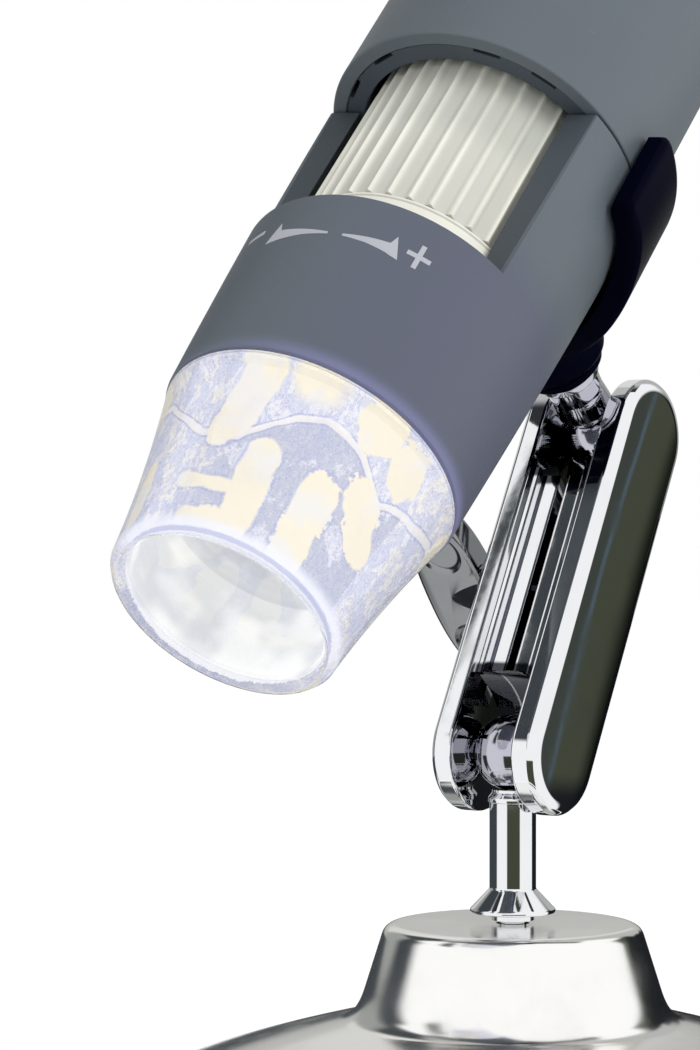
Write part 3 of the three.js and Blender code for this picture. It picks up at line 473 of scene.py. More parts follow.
def makeBoard(name, colour, copper):
    material, tree = newFinish(name)
    place = objectPlace(tree)
    settings = {"feature": "DISTANCE_TO_EDGE"}
    cells = tree.node("ShaderNodeTexVoronoi", settings, {"Vector": place, "Scale": 450.0})
    tracks = cells.smooth(0.04, 0.09)
    grain = tree.noise(place, 3000.0, 3.0)
    closeFinish(tree, {"Base Color": tree.mix(tracks, copper, colour),
                       "Roughness": grain.smooth(0.0, 1.0, 0.35, 0.55),
                       "Normal": tree.bump(tracks, 0.2, 0.00004)})
    return material


# A chrome has a tint, a wave and a haze. A moulded finish has its colour and roughness, the grain's size and
# depth, and how dark its clouds are.
finish = {
    "frontGrey": makeHousingFinish("frontGrey", True),
    "rearGrey": makeHousingFinish("rearGrey", False),
    "chrome": makeChrome("chrome"),
    "armChrome": makeChrome("armChrome", wave=0.4, pockets=True),
    "calmChrome": makeChrome("calmChrome", wave=0.12, pockets=True, shade=0.85),
    "hatChrome": makeChrome("hatChrome", (1.13, 1.11, 1.06), 0.15, 0.12),
    # the next two are darker copies of the chrome, painted shade on the balls, the neck and the wing
    "ballChrome": makeChrome("ballChrome", (0.62, 0.62, 0.68), 0.3, 0.04),
    "shadedChrome": makeChrome("shadedChrome", (0.34, 0.35, 0.35), 1.6, 0.10),
    "steel": makeChrome("brushedSteel", (0.6, 0.61, 0.62), 0.3),
    "clipBlack": makeMoulded("clipBlack", (0.0005, 0.001, 0.007), 0.36, 3600.0, 0.00001, 0.7, 0.012),
    "innerBlack": makeMoulded("innerBlack", (0.012, 0.013, 0.017), 0.6, 3200.0, 0.00003),
    "padRubber": makeMoulded("padRubber", (0.012, 0.012, 0.013), 0.85, 1800.0, 0.0001),
    "collarGrey": makeMoulded("collarGrey", (0.050, 0.066, 0.084), 0.55, 3600.0, 0.00003),
    "wheel": makeWheelFinish(),
    "clearCap": makeCapFinish(),
    "capFrost": makeCoreFinish(),
    "lamp": makeLampFinish(),
    "lensGlass": makeGlass("lensGlass", (0.85, 0.92, 0.97)),
    "boardGreen": makeBoard("boardGreen", (0.012, 0.10, 0.035), (0.03, 0.20, 0.07)),
    "boardWhite": makeMoulded("boardWhite", (0.80, 0.80, 0.78), 0.5, 2600.0, 0.00003, 0.92),
    "markGrey": makeMoulded("markGrey", (0.44, 0.45, 0.50), 0.55, 3600.0, 0.00001, 0.93),
}
nodeFinish = {
    "base_pad": "padRubber", "base_weight": "steel", "base_screw": "steel", "clamp_screw": "steel",
    "wing_washer": "chrome", "cord_gland": "innerBlack", "led_board": "boardWhite",
    "lens_barrel": "innerBlack", "lens_retainer": "innerBlack",
    "front_lens": "lensGlass", "rear_lens": "lensGlass", "sensor_board": "boardGreen",
    "image_sensor": "innerBlack", "control_board": "boardGreen", "snap_switch": "innerBlack",
}
for name, look in nodeFinish.items():
    nodes[name].data.materials.clear()
    nodes[name].data.materials.append(finish[look])
print("finishes ready")


# Mesh makers: a local shape in millimetres, put in place by a matrix


def keepMesh(mesh, name, place, look, body, replaced, sharp=32.0):
    mesh.transform(Matrix.Scale(mm, 4) @ place)
    for polygon in mesh.polygons:
        polygon.use_smooth = True
    mesh.set_sharp_from_angle(angle=math.radians(sharp))
    mesh.materials.clear()
    mesh.materials.append(finish[look])
    piece = addObject(name, mesh)
    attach(piece, body)
    if replaced:
        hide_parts(*replaced)


def closeMesh(bm, name):
    mesh = bpy.data.meshes.new(name)
    bm.to_mesh(mesh)
    bm.free()
    return mesh


def cleanMesh(bm, name):  # double points are merged, and faces point outwards
    bmesh.ops.remove_doubles(bm, verts=bm.verts, dist=0.0005)
    bmesh.ops.recalc_face_normals(bm, faces=bm.faces)
    return closeMesh(bm, name)


def bend(start, corner, end, steps):
    return [tuple((1 - t) ** 2 * Vector(start) + 2 * t * (1 - t) * Vector(corner) + t * t * Vector(end))
            for t in (k / steps for k in range(steps + 1))]


def eased(profile, steps=4):  # corners that carry a third number are rounded by that length
    points = []
    for i, corner in enumerate(profile):
        here = Vector(corner[:2])
        if len(corner) < 3:
            points.append(here)
            continue
        before = Vector(profile[i - 1][:2]) - here
        after = Vector(profile[(i + 1) % len(profile)][:2]) - here
        reach = min(corner[2], before.length / 2, after.length / 2)
        points += bend(here + before.normalized() * reach, here, here + after.normalized() * reach, steps)
    return points


def held(points, closed, margin=0.15):  # points beside the ends of long runs keep them flat in reflections
    result = []
    for i, here in enumerate(points):
        here = Vector(here)
        result.append(here)
        if i + 1 == len(points) and not closed:
            break
        run = Vector(points[(i + 1) % len(points)]) - here
        if run.length > 6 * margin:
            inset = run.normalized() * margin
            result += [here + inset, here + run - inset]
    return result


def turnedMesh(name, profile, closed=False, steps=128):
    bm = bmesh.new()
    turns = [2 * math.pi * k / steps for k in range(steps)]
    rings = []
    for radius, height in held(eased(profile), closed):
        spokes = turns if radius > 1e-6 else [0.0]  # one point where the profile meets the axis
        rings.append([bm.verts.new((radius * math.cos(a), radius * math.sin(a), height)) for a in spokes])
    pairs = list(zip(rings, rings[1:]))
    if closed:
        pairs.append((rings[-1], rings[0]))
    for low, high in pairs:
        for k in range(steps):
            j = (k + 1) % steps
            corners = [low[k % len(low)], low[j % len(low)], high[j % len(high)], high[k % len(high)]]
            unique = list(dict.fromkeys(corners))
            if len(unique) > 2:
                bm.faces.new(unique)
    return cleanMesh(bm, name)


def loftMesh(name, rings):
    bm = bmesh.new()
    rows = [[bm.verts.new(p) for p in ring] for ring in rings]
    for low, high in zip(rows, rows[1:]):
        for k in range(len(low)):
            j = (k + 1) % len(low)
            bm.faces.new((low[k], low[j], high[j], high[k]))
    bm.faces.new(list(reversed(rows[0])))
    bm.faces.new(rows[-1])
    return cleanMesh(bm, name)


def rodMesh(radius, low, high, steps=64):
    return turnedMesh("rod", [(0, low), (radius, low), (radius, high), (0, high)], steps=steps)


def boxMesh(low, high):
    bm = bmesh.new()
    bmesh.ops.create_cube(bm, size=1.0)
    bmesh.ops.scale(bm, vec=high - low, verts=bm.verts)
    bmesh.ops.translate(bm, vec=(low + high) / 2, verts=bm.verts)
    return closeMesh(bm, "box")


def evaluated(holder):
    bpy.context.view_layer.update()
    graph = bpy.context.evaluated_depsgraph_get()
    return bpy.data.meshes.new_from_object(holder.evaluated_get(graph))


def combined(mesh, others, operation):  # the scratch objects are removed again
    holder = addObject("holder", mesh)
    cutters = [addObject("cutter", other) for other in others]
    for cutter in cutters:
        modifier = holder.modifiers.new("cut", "BOOLEAN")
        modifier.operation = operation
        modifier.solver = "EXACT"
        modifier.object = cutter
    result = evaluated(holder)
    for item in [holder] + cutters:
        bpy.data.objects.remove(item)
    return result


def joined(meshes, name):
    bm = bmesh.new()
    for mesh in meshes:
        bm.from_mesh(mesh)
    return closeMesh(bm, name)


def moved(mesh, matrix):
    mesh.transform(matrix)
    return mesh


atOrigin = Matrix.Identity(4)
sideways = Matrix.Rotation(math.radians(-90), 4, "X")  # a shape made along Z then lies along +Y
stemward = Matrix.Rotation(math.radians(-90), 4, "Y")  # a shape made along Z then points to -X


# Geometry Nodes: a ribbed drum, and copies of a shape round an axis

def newShapeTree(name, inputs, takesMesh):  # gives the tree and a wire for each named input
    group = bpy.data.node_groups.new(name, "GeometryNodeTree")
    if takesMesh:
        group.interface.new_socket("Geometry", in_out="INPUT", socket_type="NodeSocketGeometry")
    for label, kind, value in inputs:
        group.interface.new_socket(label, in_out="INPUT", socket_type=kind).default_value = value
    group.interface.new_socket("Geometry", in_out="OUTPUT", socket_type="NodeSocketGeometry")
    tree = Tree(group)
    given = group.nodes.new("NodeGroupInput").outputs
    return tree, {socket.name: Wire(tree, socket) for socket in given}


def closeShapeTree(tree, geometry, look):
    real = tree.node("GeometryNodeRealizeInstances", None, {"Geometry": geometry})
    dressed = tree.node("GeometryNodeSetMaterial", None, {"Geometry": real, "Material": finish[look]})
    tree.node("NodeGroupOutput", None, {0: dressed})
    return tree.nodeTree


def bakeShape(group, mesh, values):  # runs the tree on a mesh with the given named inputs
    holder = addObject("holder", mesh)
    modifier = holder.modifiers.new("shape", "NODES")
    modifier.node_group = group
    for item in group.interface.items_tree:
        if item.item_type == "SOCKET" and item.in_out == "INPUT" and item.name in values:
            modifier[item.identifier] = values[item.name]
    result = evaluated(holder)
    holder.modifiers.remove(modifier)
    bpy.data.objects.remove(holder)
    return result


def makeRibTree():
    tree, given = newShapeTree("ribbedDrum", [
        ("Radius", "NodeSocketFloat", 12.5), ("Rib Depth", "NodeSocketFloat", 0.6),
        ("Ribs", "NodeSocketInt", 36), ("Points per Rib", "NodeSocketInt", 14),
        ("Length", "NodeSocketFloat", 20.0), ("Sharpness", "NodeSocketFloat", 2.0)], False)
    drum = tree.node("GeometryNodeMeshCylinder", {"fill_type": "NGON"}, {
        "Vertices": given["Ribs"] * given["Points per Rib"], "Side Segments": 6, "Radius": given["Radius"],
        "Depth": given["Length"]})
    x, y, z = tree.axes(tree.node("GeometryNodeInputPosition"), 1.0)
    wave = y.maths("COSINE", y.maths("ARCTAN2", y, x) * given["Ribs"])
    ridge = ((wave + 1.0) * 0.5) ** given["Sharpness"]
    share = 1.0 - given["Rib Depth"] * (1.0 - ridge) / given["Radius"]
    pulled = tree.node("ShaderNodeCombineXYZ", None, {0: x * share, 1: y * share, 2: z})
    shaped = tree.node("GeometryNodeSetPosition", None, {"Geometry": drum, "Position": pulled})
    return closeShapeTree(tree, shaped, "wheel")


def makeRingTree(look):
    tree, given = newShapeTree("ringOfCopies", [
        ("Count", "NodeSocketInt", 8), ("First Angle", "NodeSocketFloat", 0.0)], True)
    row = tree.node("GeometryNodeMeshLine", None, {"Count": given["Count"], "Offset": (0, 0, 0)})
    index = tree.node("GeometryNodeInputIndex")
    angle = index * (2 * math.pi / given["Count"]) + given["First Angle"]
    turn = tree.node("ShaderNodeCombineXYZ", None, {2: angle})
    copies = tree.node("GeometryNodeInstanceOnPoints", None,
                       {"Points": row, "Instance": given["Geometry"], "Rotation": turn})
    return closeShapeTree(tree, copies, look)


# Base: the hat, its post and the two balls

base = {"rim": 36.0, "edge": 1.0, "rootRadius": 17.6, "rootHeight": 6.6, "footRadius": 15.1,
        "footHeight": 9.7, "topRadius": 13.0, "topHeight": 16.45, "topRound": 1.1, "crown": 0.1,
        "hole": 1.7, "wall": 1.2, "shoulder": 6.5, "shoulderHeight": 3.7, "meet": (0.84, 0.4)}


def hatPath(inset):
    top, rim = base["topHeight"] - inset, base["topRadius"] - inset
    foot, root = base["footRadius"] - inset, base["rootRadius"] - inset
    rootHeight, shelf = base["rootHeight"] - inset, top - base["crown"]
    flank = Vector((foot - rim, base["footHeight"] - base["topHeight"])).normalized()
    corner = Vector((rim, shelf))
    path = [(base["hole"], top)]
    path += bend((rim - base["topRound"], shelf + 0.04), corner, corner + flank * base["topRound"], 12)
    meet = (foot + base["meet"][0], rootHeight + base["meet"][1])  # where the flank's line meets the brim's
    path += bend((foot, base["footHeight"]), meet, (root, rootHeight), 16)
    shoulder = (base["rim"] - base["shoulder"] - inset, base["shoulderHeight"] - inset)
    return path + bend((root, rootHeight), shoulder, (base["rim"] - inset, base["edge"]), 18)[1:]


hatProfile = hatPath(0) + list(reversed(hatPath(base["wall"])))
hatMesh = turnedMesh("base_hat", hatProfile, closed=True, steps=192)
keepMesh(hatMesh, "base_hat", atOrigin, "hatChrome", "base", ["base_shell"], 40)

post = {"radius": 2.37, "root": 16.8, "neck": 2.2, "foot": 17.55, "cone": 4.35, "coneEdge": 0.35,
        "coneTop": 20.0, "collar": 2.5, "collarHeight": 0.5, "collarTop": 29.25, "cup": 2.1,
        "cupTop": 30.05, "cupFloor": 29.6}
postCollar = post["collarTop"] - post["collarHeight"]
postMesh = turnedMesh("post_turned", [
    (0, post["root"]), (post["neck"], post["root"]), (post["neck"], post["foot"]),
    (post["cone"], post["foot"], 0.1), (post["cone"], post["foot"] + post["coneEdge"], 0.12),
    (post["radius"], post["coneTop"], 0.15), (post["radius"], postCollar, 0.05),
    (post["collar"], postCollar, 0.12), (post["collar"], post["collarTop"], 0.12),
    (post["cup"], post["collarTop"] + 0.5, 0.1), (post["cup"], post["cupTop"]), (0, post["cupFloor"]),
], steps=96)
keepMesh(postMesh, "post_turned", atOrigin, "chrome", "base", ["post"])

ball = {"radius": 3.9, "steps": 48}


def ballMesh(name):
    radius, steps = ball["radius"], ball["steps"]
    arc = [(radius * math.sin(math.pi * k / steps), -radius * math.cos(math.pi * k / steps))
           for k in range(1, steps)]
    return turnedMesh(name, [(0, -radius)] + arc + [(0, radius)], steps=96)


for name, place in (("lower_ball", (0, 0, frames["ballHeight"])), ("upper_ball", upperBall)):
    polished = name + "_polished"
    keepMesh(ballMesh(polished), polished, Matrix.Translation(place), "ballChrome", name, [name])
print("base and balls ready")


# Arm: two polished halves and the wing

arm = {"halfWidth": 6.1, "inner": 3.6, "rib": 0.48, "ribStep": 2.6, "ribWidth": 4.6, "stepWidth": 5.4,
       "clear": 8.4,
       # the plate's edge, from its inside to its face: how far in from the outline, and how deep
       "edge": [(0.35, 3.6), (0.2, 3.6), (0.06, 3.66), (0.0, 3.8), (0.0, 3.92), (0.0, 5.33), (0.0, 5.45),
                (0.03, 5.56), (0.33, 5.98), (0.62, 6.18), (1.0, 6.29), (1.22, 6.34), (1.4, 6.35),
                (1.55, 6.35)]}


def stadium(inset, depth, steps=32):
    radius = arm["halfWidth"] - inset
    ring = []
    for centre, start in ((frames["armReach"], 0.0), (0.0, math.pi)):
        for k in range(steps + 1):
            angle = start + math.pi * k / steps
            ring.append(Vector((radius * math.cos(angle), depth, centre + radius * math.sin(angle))))
    return ring


def armHalfMesh(name, side):
    plate = loftMesh("plate", [stadium(inset, depth) for inset, depth in arm["edge"]])
    w, s, step, root = arm["ribWidth"], arm["stepWidth"], arm["ribStep"], arm["inner"] + 1.0
    section = [(-w, arm["rib"], 0.12), (w, arm["rib"], 0.12), (w, step, 0.08), (s, step, 0.12), (s, root),
               (-s, root), (-s, step, 0.12), (-w, step, 0.08)]
    points, reach = held(eased(section), True), frames["armReach"]
    bar = loftMesh("bar", [[Vector((p.x, p.y, z)) for p in points] for z in (0.5, reach - 0.5)])
    cuts = [moved(rodMesh(arm["clear"], -1.0, arm["inner"]), Matrix.Translation((0, 0, z)) @ sideways)
            for z in (0, reach)]
    whole = joined([plate, combined(bar, cuts, "DIFFERENCE")], name)
    if side < 0:
        whole.transform(Matrix.Scale(-1, 4, Vector((0, 1, 0))))
        whole.flip_normals()
    return whole


for name, side, look in (("arm_far", 1, "armChrome"), ("arm_near", -1, "calmChrome")):
    polished = name + "_polished"
    keepMesh(armHalfMesh(polished, side), polished, armFrame, look, "arm", [name + "_half"], 25)

wing = {"face": 7.45, "neck": 0.2, "halfLength": 10.8, "halfReach": 4.05, "halfThickness": 1.5,
        "power": 0.85, "turn": -38.0, "dishPlace": 6.1, "dish": 2.2, "dishRim": 2.7,
        "dishDepth": 0.35, "hub": 2.7}


def wingMesh():
    face, hub, t = wing["face"], wing["hub"], wing["halfThickness"]
    centre = face + wing["neck"] + wing["halfReach"]

    def swell(value):
        return math.copysign(abs(value) ** wing["power"], value)

    def oval(depth, inset, steps=96):
        turns = [2 * math.pi * k / steps for k in range(steps)]
        return [Vector((depth, centre + (wing["halfReach"] - inset) * swell(math.cos(a)),
                        (wing["halfLength"] - inset) * swell(math.sin(a)))) for a in turns]

    rows = [(-t, 0.5), (-t + 0.04, 0.3), (-t + 0.16, 0.12), (-t + 0.38, 0.02), (-t + 0.55, 0.0)]
    rows += [(-depth, inset) for depth, inset in reversed(rows)]
    plate = loftMesh("plate", [oval(depth, inset) for depth, inset in rows])
    hubMesh = turnedMesh("hub", [(0, face), (hub, face, 0.15), (hub, face + 0.8, 0.3), (t, face + 5.0),
                                 (0, face + 5.0)], steps=64)
    plate = combined(plate, [moved(hubMesh, sideways)], "UNION")
    floor = t - wing["dishDepth"]
    cuts = []
    for side in (90, -90):
        for z in (-wing["dishPlace"], wing["dishPlace"]):
            dish = turnedMesh("dish", [(0, floor), (wing["dish"], floor, 0.25), (wing["dishRim"], t),
                                       (wing["dishRim"] + 0.3, t + 0.4), (0, t + 0.4)], steps=64)
            turn = Matrix.Rotation(math.radians(side), 4, "Y")
            cuts.append(moved(dish, Matrix.Translation((0, centre, z)) @ turn))
    return combined(plate, cuts, "DIFFERENCE")


wingFrame = (armFrame @ Matrix.Translation((0, 0, frames["armReach"] / 2))
             @ Matrix.Rotation(math.radians(wing["turn"] - frames["lean"]), 4, "Y"))
# the wing's chrome is a darker copy, painted shade
keepMesh(wingMesh(), "clamp_wing_polished", wingFrame, "shadedChrome", "wing", ["clamp_wing"], 28)
print("arm and wing ready")


# Head: neck, collar and spring clip

neck = {"root": 3.0, "waist": 2.85, "waistPlace": 6.9, "flange": 3.3, "thickness": 0.8, "face": 9.84,
        "shank": 1.9, "end": 17.1}
flange = neck["face"] - neck["thickness"]
neckMesh = turnedMesh("neck_turned", [
    (0, 4.25), (2.0, 3.75), (2.1, 3.64), (neck["root"], 4.7, 0.2), (neck["waist"], neck["waistPlace"]),
    (neck["root"], flange, 0.1), (neck["flange"], flange, 0.12), (neck["flange"], neck["face"], 0.1),
    (neck["shank"], neck["face"]), (neck["shank"], neck["end"]), (0, neck["end"]),
], steps=96)  # it starts in a hollow that fits the ball
keepMesh(neckMesh, "neck_turned", headFrame @ stemward, "ballChrome", "head", ["upper_neck"])

collar = {"bore": 2.2, "foot": 10.14, "footRadius": 3.5, "radius": 4.35, "rise": 0.46, "face": 11.34}
collarMesh = turnedMesh("collar_turned", [
    (collar["bore"], collar["foot"]), (collar["footRadius"], collar["foot"], 0.3),
    (collar["radius"], collar["foot"] + collar["rise"], 0.4), (collar["radius"], collar["face"], 0.12),
    (collar["bore"], collar["face"]),
], closed=True, steps=96)
keepMesh(collarMesh, "collar_turned", headFrame @ stemward, "clipBlack", "head", ["boss_collar"])

clip = {"bore": 16.875, "wall": 2.4, "top": 4.5, "jawBottom": 6.4, "heelBottom": 9.6, "jaw": 86.0,
        "round": 0.8, "bossFace": 11.64, "bossRadius": 5.3, "bossRoot": 5.6, "bossRound": 1.3}


def clipMesh():
    rings, steps, half, edge = [], 120, math.radians(clip["jaw"]), clip["round"]
    for i in range(steps + 1):
        share = 2 * i / steps - 1
        drop = min(1.0, max(0.0, (abs(share) - 0.35) / 0.5))
        drop = drop * drop * (3 - 2 * drop)  # the heel eases into the narrower jaw
        tip = max(0.0, 1 - (1 - abs(share)) * half * clip["bore"] / (edge * 1.6))
        inset = edge * (1 - math.sqrt(1 - min(tip, 0.995) ** 2))
        bottom = clip["heelBottom"] + (clip["jawBottom"] - clip["heelBottom"]) * drop
        low, high = frames["seamOffset"] - bottom + inset, frames["seamOffset"] + clip["top"] - inset
        inner, outer = clip["bore"] + inset / 2, clip["bore"] + clip["wall"] - inset / 2
        corners = [(inner, low, 0.1), (outer, low, edge), (outer, high, edge), (inner, high, 0.1)]
        across, along = math.cos(half * share), math.sin(half * share)
        rings.append([Vector((p.x * across - frames["stemReach"], p.x * along, p.y))
                      for p in held(eased(corners, 6), True, 0.05)])
    root = frames["stemReach"] - clip["bore"] - clip["wall"] / 2
    face, radius, curve = clip["bossFace"], clip["bossRadius"], clip["bossRound"]
    profile = [(0, face)] + bend((radius - curve, face), (radius, face), (radius, face + curve), 8)
    profile += [(radius, face + 2.4), (clip["bossRoot"], root), (0, root)]
    boss = moved(turnedMesh("boss", profile, steps=96), stemward)
    return combined(loftMesh("band", rings), [boss], "UNION")


keepMesh(clipMesh(), "clip_moulded", headFrame, "clipBlack", "head", ["clip_cradle"], 30)
print("head ready")


# Barrel: housings, inner ring, end cap and button

def frontMesh():
    front, bore, window, steps = -barrel["front"], barrel["bore"], -barrel["window"], 30
    webBore, web = barrel["webBore"], window - barrel["web"]
    heights = [front + 0.3 + (barrel["front"] - 0.5) * k / steps for k in range(steps + 1)]
    profile = [(skinRadius(front) - 0.3, front), (skinRadius(front) - 0.09, front + 0.09)]
    profile += [(skinRadius(height), height) for height in heights]
    profile += [(barrel["seam"] - 0.06, -0.06), (barrel["seam"] - 0.25, 0.0), (bore, 0), (bore, window),
                (webBore, window), (webBore, web), (bore, web), (bore, -36.0), (12.3, -36.0), (12.3, -37.0),
                (bore, -37.0), (bore, front)]  # a web before the window, and a rib for the lamp board
    shell = turnedMesh("front", profile, closed=True, steps=180)
    opening = boxMesh(Vector((-20.0, -20.0, window)), Vector((-barrel["windowPlane"], 20.0, 2.0)))
    return combined(shell, [opening], "DIFFERENCE")


keepMesh(frontMesh(), "front_moulded", scopeFrame, "frontGrey", "microscope", ["front_housing"], 30)

button = {"place": 29.0, "hole": 3.75, "radius": 3.4, "round": 0.7, "proud": 0.7, "flange": 4.4,
          "thickness": 0.8}
rearMesh = turnedMesh("rear", [
    (barrel["rearBore"], 0.42), (barrel["rearBore"] + 0.1, 0.3), (16.5, 0.3, 0.22),
    (barrel["rear"], barrel["back"], 0.15), (barrel["rearBore"], barrel["back"]),
], closed=True, steps=180)
buttonPlace = Matrix.Translation((0, 0, button["place"]))
hole = moved(rodMesh(button["hole"], -18.0, -4.4), buttonPlace @ Matrix.Rotation(math.radians(90), 4, "Y"))
keepMesh(combined(rearMesh, [hole], "DIFFERENCE"), "rear_moulded", scopeFrame, "rearGrey", "microscope",
         ["rear_housing"], 30)

bearing = {"inner": 13.1, "outer": 14.95, "face": 0.42, "top": 5.9, "pairs": 5, "turn": -3.0,
           "spread": 12.0, "slotWidth": 2.8, "slotDepth": 0.42, "slotLength": 1.8}


def bearingMesh():
    inner, outer, face, top = bearing["inner"], bearing["outer"], bearing["face"], bearing["top"]
    ring = turnedMesh("bearing_ring", [(inner, face, 0.15), (outer, face, 0.1), (outer, top), (inner, top)],
                      closed=True, steps=192)
    half = Vector((1.0, bearing["slotWidth"] / 2, bearing["slotLength"]))
    place = Matrix.Translation((outer - bearing["slotDepth"] + half.x, 0, face))
    slots = []
    for i in range(bearing["pairs"]):
        for side in (-1, 1):
            turn = math.radians(bearing["turn"] + 360 * i / bearing["pairs"] + side * bearing["spread"])
            slots.append(moved(boxMesh(-half, half), Matrix.Rotation(turn, 4, "Z") @ place))
    return combined(ring, slots, "DIFFERENCE")


keepMesh(bearingMesh(), "bearing_ring", scopeFrame, "collarGrey", "microscope", ["inner_collar"], 30)

end = {"top": 47.5, "wall": 2.0, "hole": 3.9, "face": 9.5, "radius": 16.7, "foot": 38.3, "spigotFoot": 34.9,
       "spigot": 14.7, "spigotBore": 12.9}
endProfile = [(end["hole"], end["top"] - end["wall"]), (end["hole"], end["top"], 0.2)]
endProfile += bend((end["face"], end["top"]), (end["radius"], end["top"]), (end["radius"], end["foot"]), 16)
endProfile += [(end["spigot"], end["foot"]), (end["spigot"], end["spigotFoot"]),
               (end["spigotBore"], end["spigotFoot"]), (end["spigotBore"], end["foot"]),
               (end["face"] - end["wall"], end["top"] - end["wall"])]
endMesh = turnedMesh("end", endProfile, closed=True, steps=160)
keepMesh(endMesh, "end_moulded", scopeFrame, "rearGrey", "microscope", ["end_cap"], 30)


def buttonMesh():
    radius, curve, flange = button["radius"], button["round"], button["flange"]
    top = skinRadius(button["place"]) + button["proud"]
    floor = math.sqrt(barrel["rearBore"] ** 2 - flange ** 2) - 0.3 - button["thickness"]
    shelf = floor + button["thickness"]
    profile = [(0, floor), (flange, floor), (flange, shelf), (radius, shelf)]
    profile += bend((radius, top - curve), (radius, top), (radius - curve, top), 8)
    profile += [(1.9, top - 0.14), (1.0, top - 0.29), (0, top - 0.35)]  # a shallow dish for the finger
    return turnedMesh("button", profile, steps=64)


keepMesh(buttonMesh(), "button_moulded", scopeFrame @ buttonPlace @ stemward, "clipBlack", "button",
         ["snap_button"])
print("housings ready")


# Focus wheel: ribs by Geometry Nodes, with a plain lip and a bore

def wheelMesh():
    radius, floor, top = wheel["radius"], wheel["floor"], wheel["top"]
    lipTop, root = floor + wheel["lip"], radius - wheel["depth"]
    drum = bakeShape(makeRibTree(), bpy.data.meshes.new("seed"), {
        "Radius": radius, "Rib Depth": wheel["depth"], "Ribs": wheel["count"], "Points per Rib": 14,
        "Length": top - lipTop, "Sharpness": wheel["sharpness"]})
    drum.transform(Matrix.Translation((0, 0, (lipTop + top) / 2)))
    groove = lipTop - wheel["groove"]
    lip = turnedMesh("lip", [(0, floor), (radius, floor, 0.2), (radius, groove, 0.15), (root, groove),
                             (root, lipTop + 0.5), (0, lipTop + 0.5)], steps=160)
    whole = combined(drum, [lip], "UNION")
    return combined(whole, [rodMesh(wheel["bore"], floor - 1, top + 1, 96)], "DIFFERENCE")


keepMesh(wheelMesh(), "wheel_ribbed", scopeFrame, "wheel", "wheel", ["focus_wheel"], 38)
print("wheel ready")


# Clear nose cap and its lamps

def capMesh():
    floor, wall, share, steps = cap["floor"], cap["wall"], 1 - cap["guide"] / cap["length"], 30
    lip = [(wall, 0.7), (1.15, 0.2), (0.7, 0.0), (0.25, 0.15)]  # in from the tip's radius, up from its end
    outer = [(cap["tip"] - inset, capTip + up) for inset, up in lip]
    outer += [(capRadius(k / steps), capTip + cap["length"] * k / steps) for k in range(1, steps + 1)]
    spigot, bore, joint = cap["spigot"], cap["guideBore"], cap["joint"]
    inner = [(spigot, floor), (spigot, joint), (spigot - 1.2, joint), (spigot - 1.2, floor), (bore, floor),
             (bore, capLedge + 0.7, 0.4), (bore + 0.7, capLedge, 0.3),
             (capRadius(share) - wall - 0.1, capLedge, 0.8)]
    inner += [(capRadius(share * k / 8) - wall, capTip + cap["length"] * share * k / 8)
              for k in range(7, 1, -1)]
    return turnedMesh("cap", outer + inner, closed=True, steps=160)


keepMesh(capMesh(), "cap_clear", scopeFrame, "clearCap", "microscope", ["tip_cap"], 40)

core = {"start": 0.9, "stop": 0.7, "depth": 1.28, "thickness": 0.42, "gap": 0.12, "steps": 24}


# Frosted inner body: a liner down the whole skirt, closed at the joint, with the guide's end across it
def coreMesh():
    low, high, gap, floor = capTip + core["start"], cap["floor"] - core["stop"], core["gap"], cap["floor"]
    rows = [low + (high - low) * k / core["steps"] for k in range(core["steps"] + 1)]
    liner = [(capRadius((z - capTip) / cap["length"]) - core["depth"], z) for z in rows]
    inner = [(radius - core["thickness"], z) for radius, z in reversed(liner) if z < capLedge - 0.4]
    bore = cap["guideBore"] + gap
    guide = [(14.45, floor - 0.5), (14.5, floor - gap), (bore, floor - gap), (bore, capLedge + 0.6, 0.3),
             (9.6, capLedge + 0.15, 0.3)]
    return turnedMesh("core", liner + guide + inner, closed=True, steps=192)


keepMesh(coreMesh(), "cap_core", scopeFrame, "capFrost", "microscope", [], 50)

lamps = {"count": 8, "circle": 10.0, "radius": 1.5, "tip": -43.1, "top": -38.8}


def lampMesh():
    radius, tip, top = lamps["radius"], lamps["tip"], lamps["top"]
    profile = bend((0, tip), (radius, tip), (radius, tip + radius), 8) + [(radius, top), (0, top)]
    one = moved(turnedMesh("lamp", profile, steps=24), Matrix.Translation((lamps["circle"], 0, 0)))
    values = {"Count": lamps["count"], "First Angle": math.pi / lamps["count"]}
    return bakeShape(makeRingTree("lamp"), one, values)


keepMesh(lampMesh(), "lamp_ring", scopeFrame, "lamp", "microscope", ["led_%d" % (i + 1) for i in range(8)])
print("cap and lamps ready")


# Marks on the ring: minus, two bent arrows and plus, by angle from the window's middle and place along

marks = {
    "lift": 0.03, "sunk": -0.05, "steps": 12,
    "minus": [((-34.6, -26.65), (-34.6, -26.15)), ((-25.4, -26.45), (-25.4, -25.95))],
    "leftArrow": [
        ((-20.5, -28.3), (-20.4, -28.2)), ((-17.6, -28.2), (-17.2, -25.8)),
        ((-15.4, -28.1), (-15.6, -26.8)), ((-5.0, -27.75), (-5.0, -27.05)), ((5.0, -27.55), (5.0, -27.3))],
    "rightArrow": [
        ((10.5, -27.55), (10.5, -27.3)), ((19.5, -27.7), (19.5, -27.0)), ((27.1, -28.0), (27.3, -26.8)),
        ((29.0, -28.15), (28.6, -25.8)), ((32.0, -28.3), (31.9, -28.2))],
    "plusAcross": [((33.6, -27.15), (33.6, -26.65)), ((42.4, -27.15), (42.4, -26.65))],
    "plusAlong": [((37.1, -28.3), (37.1, -25.5)), ((38.9, -28.3), (38.9, -25.5))],
}


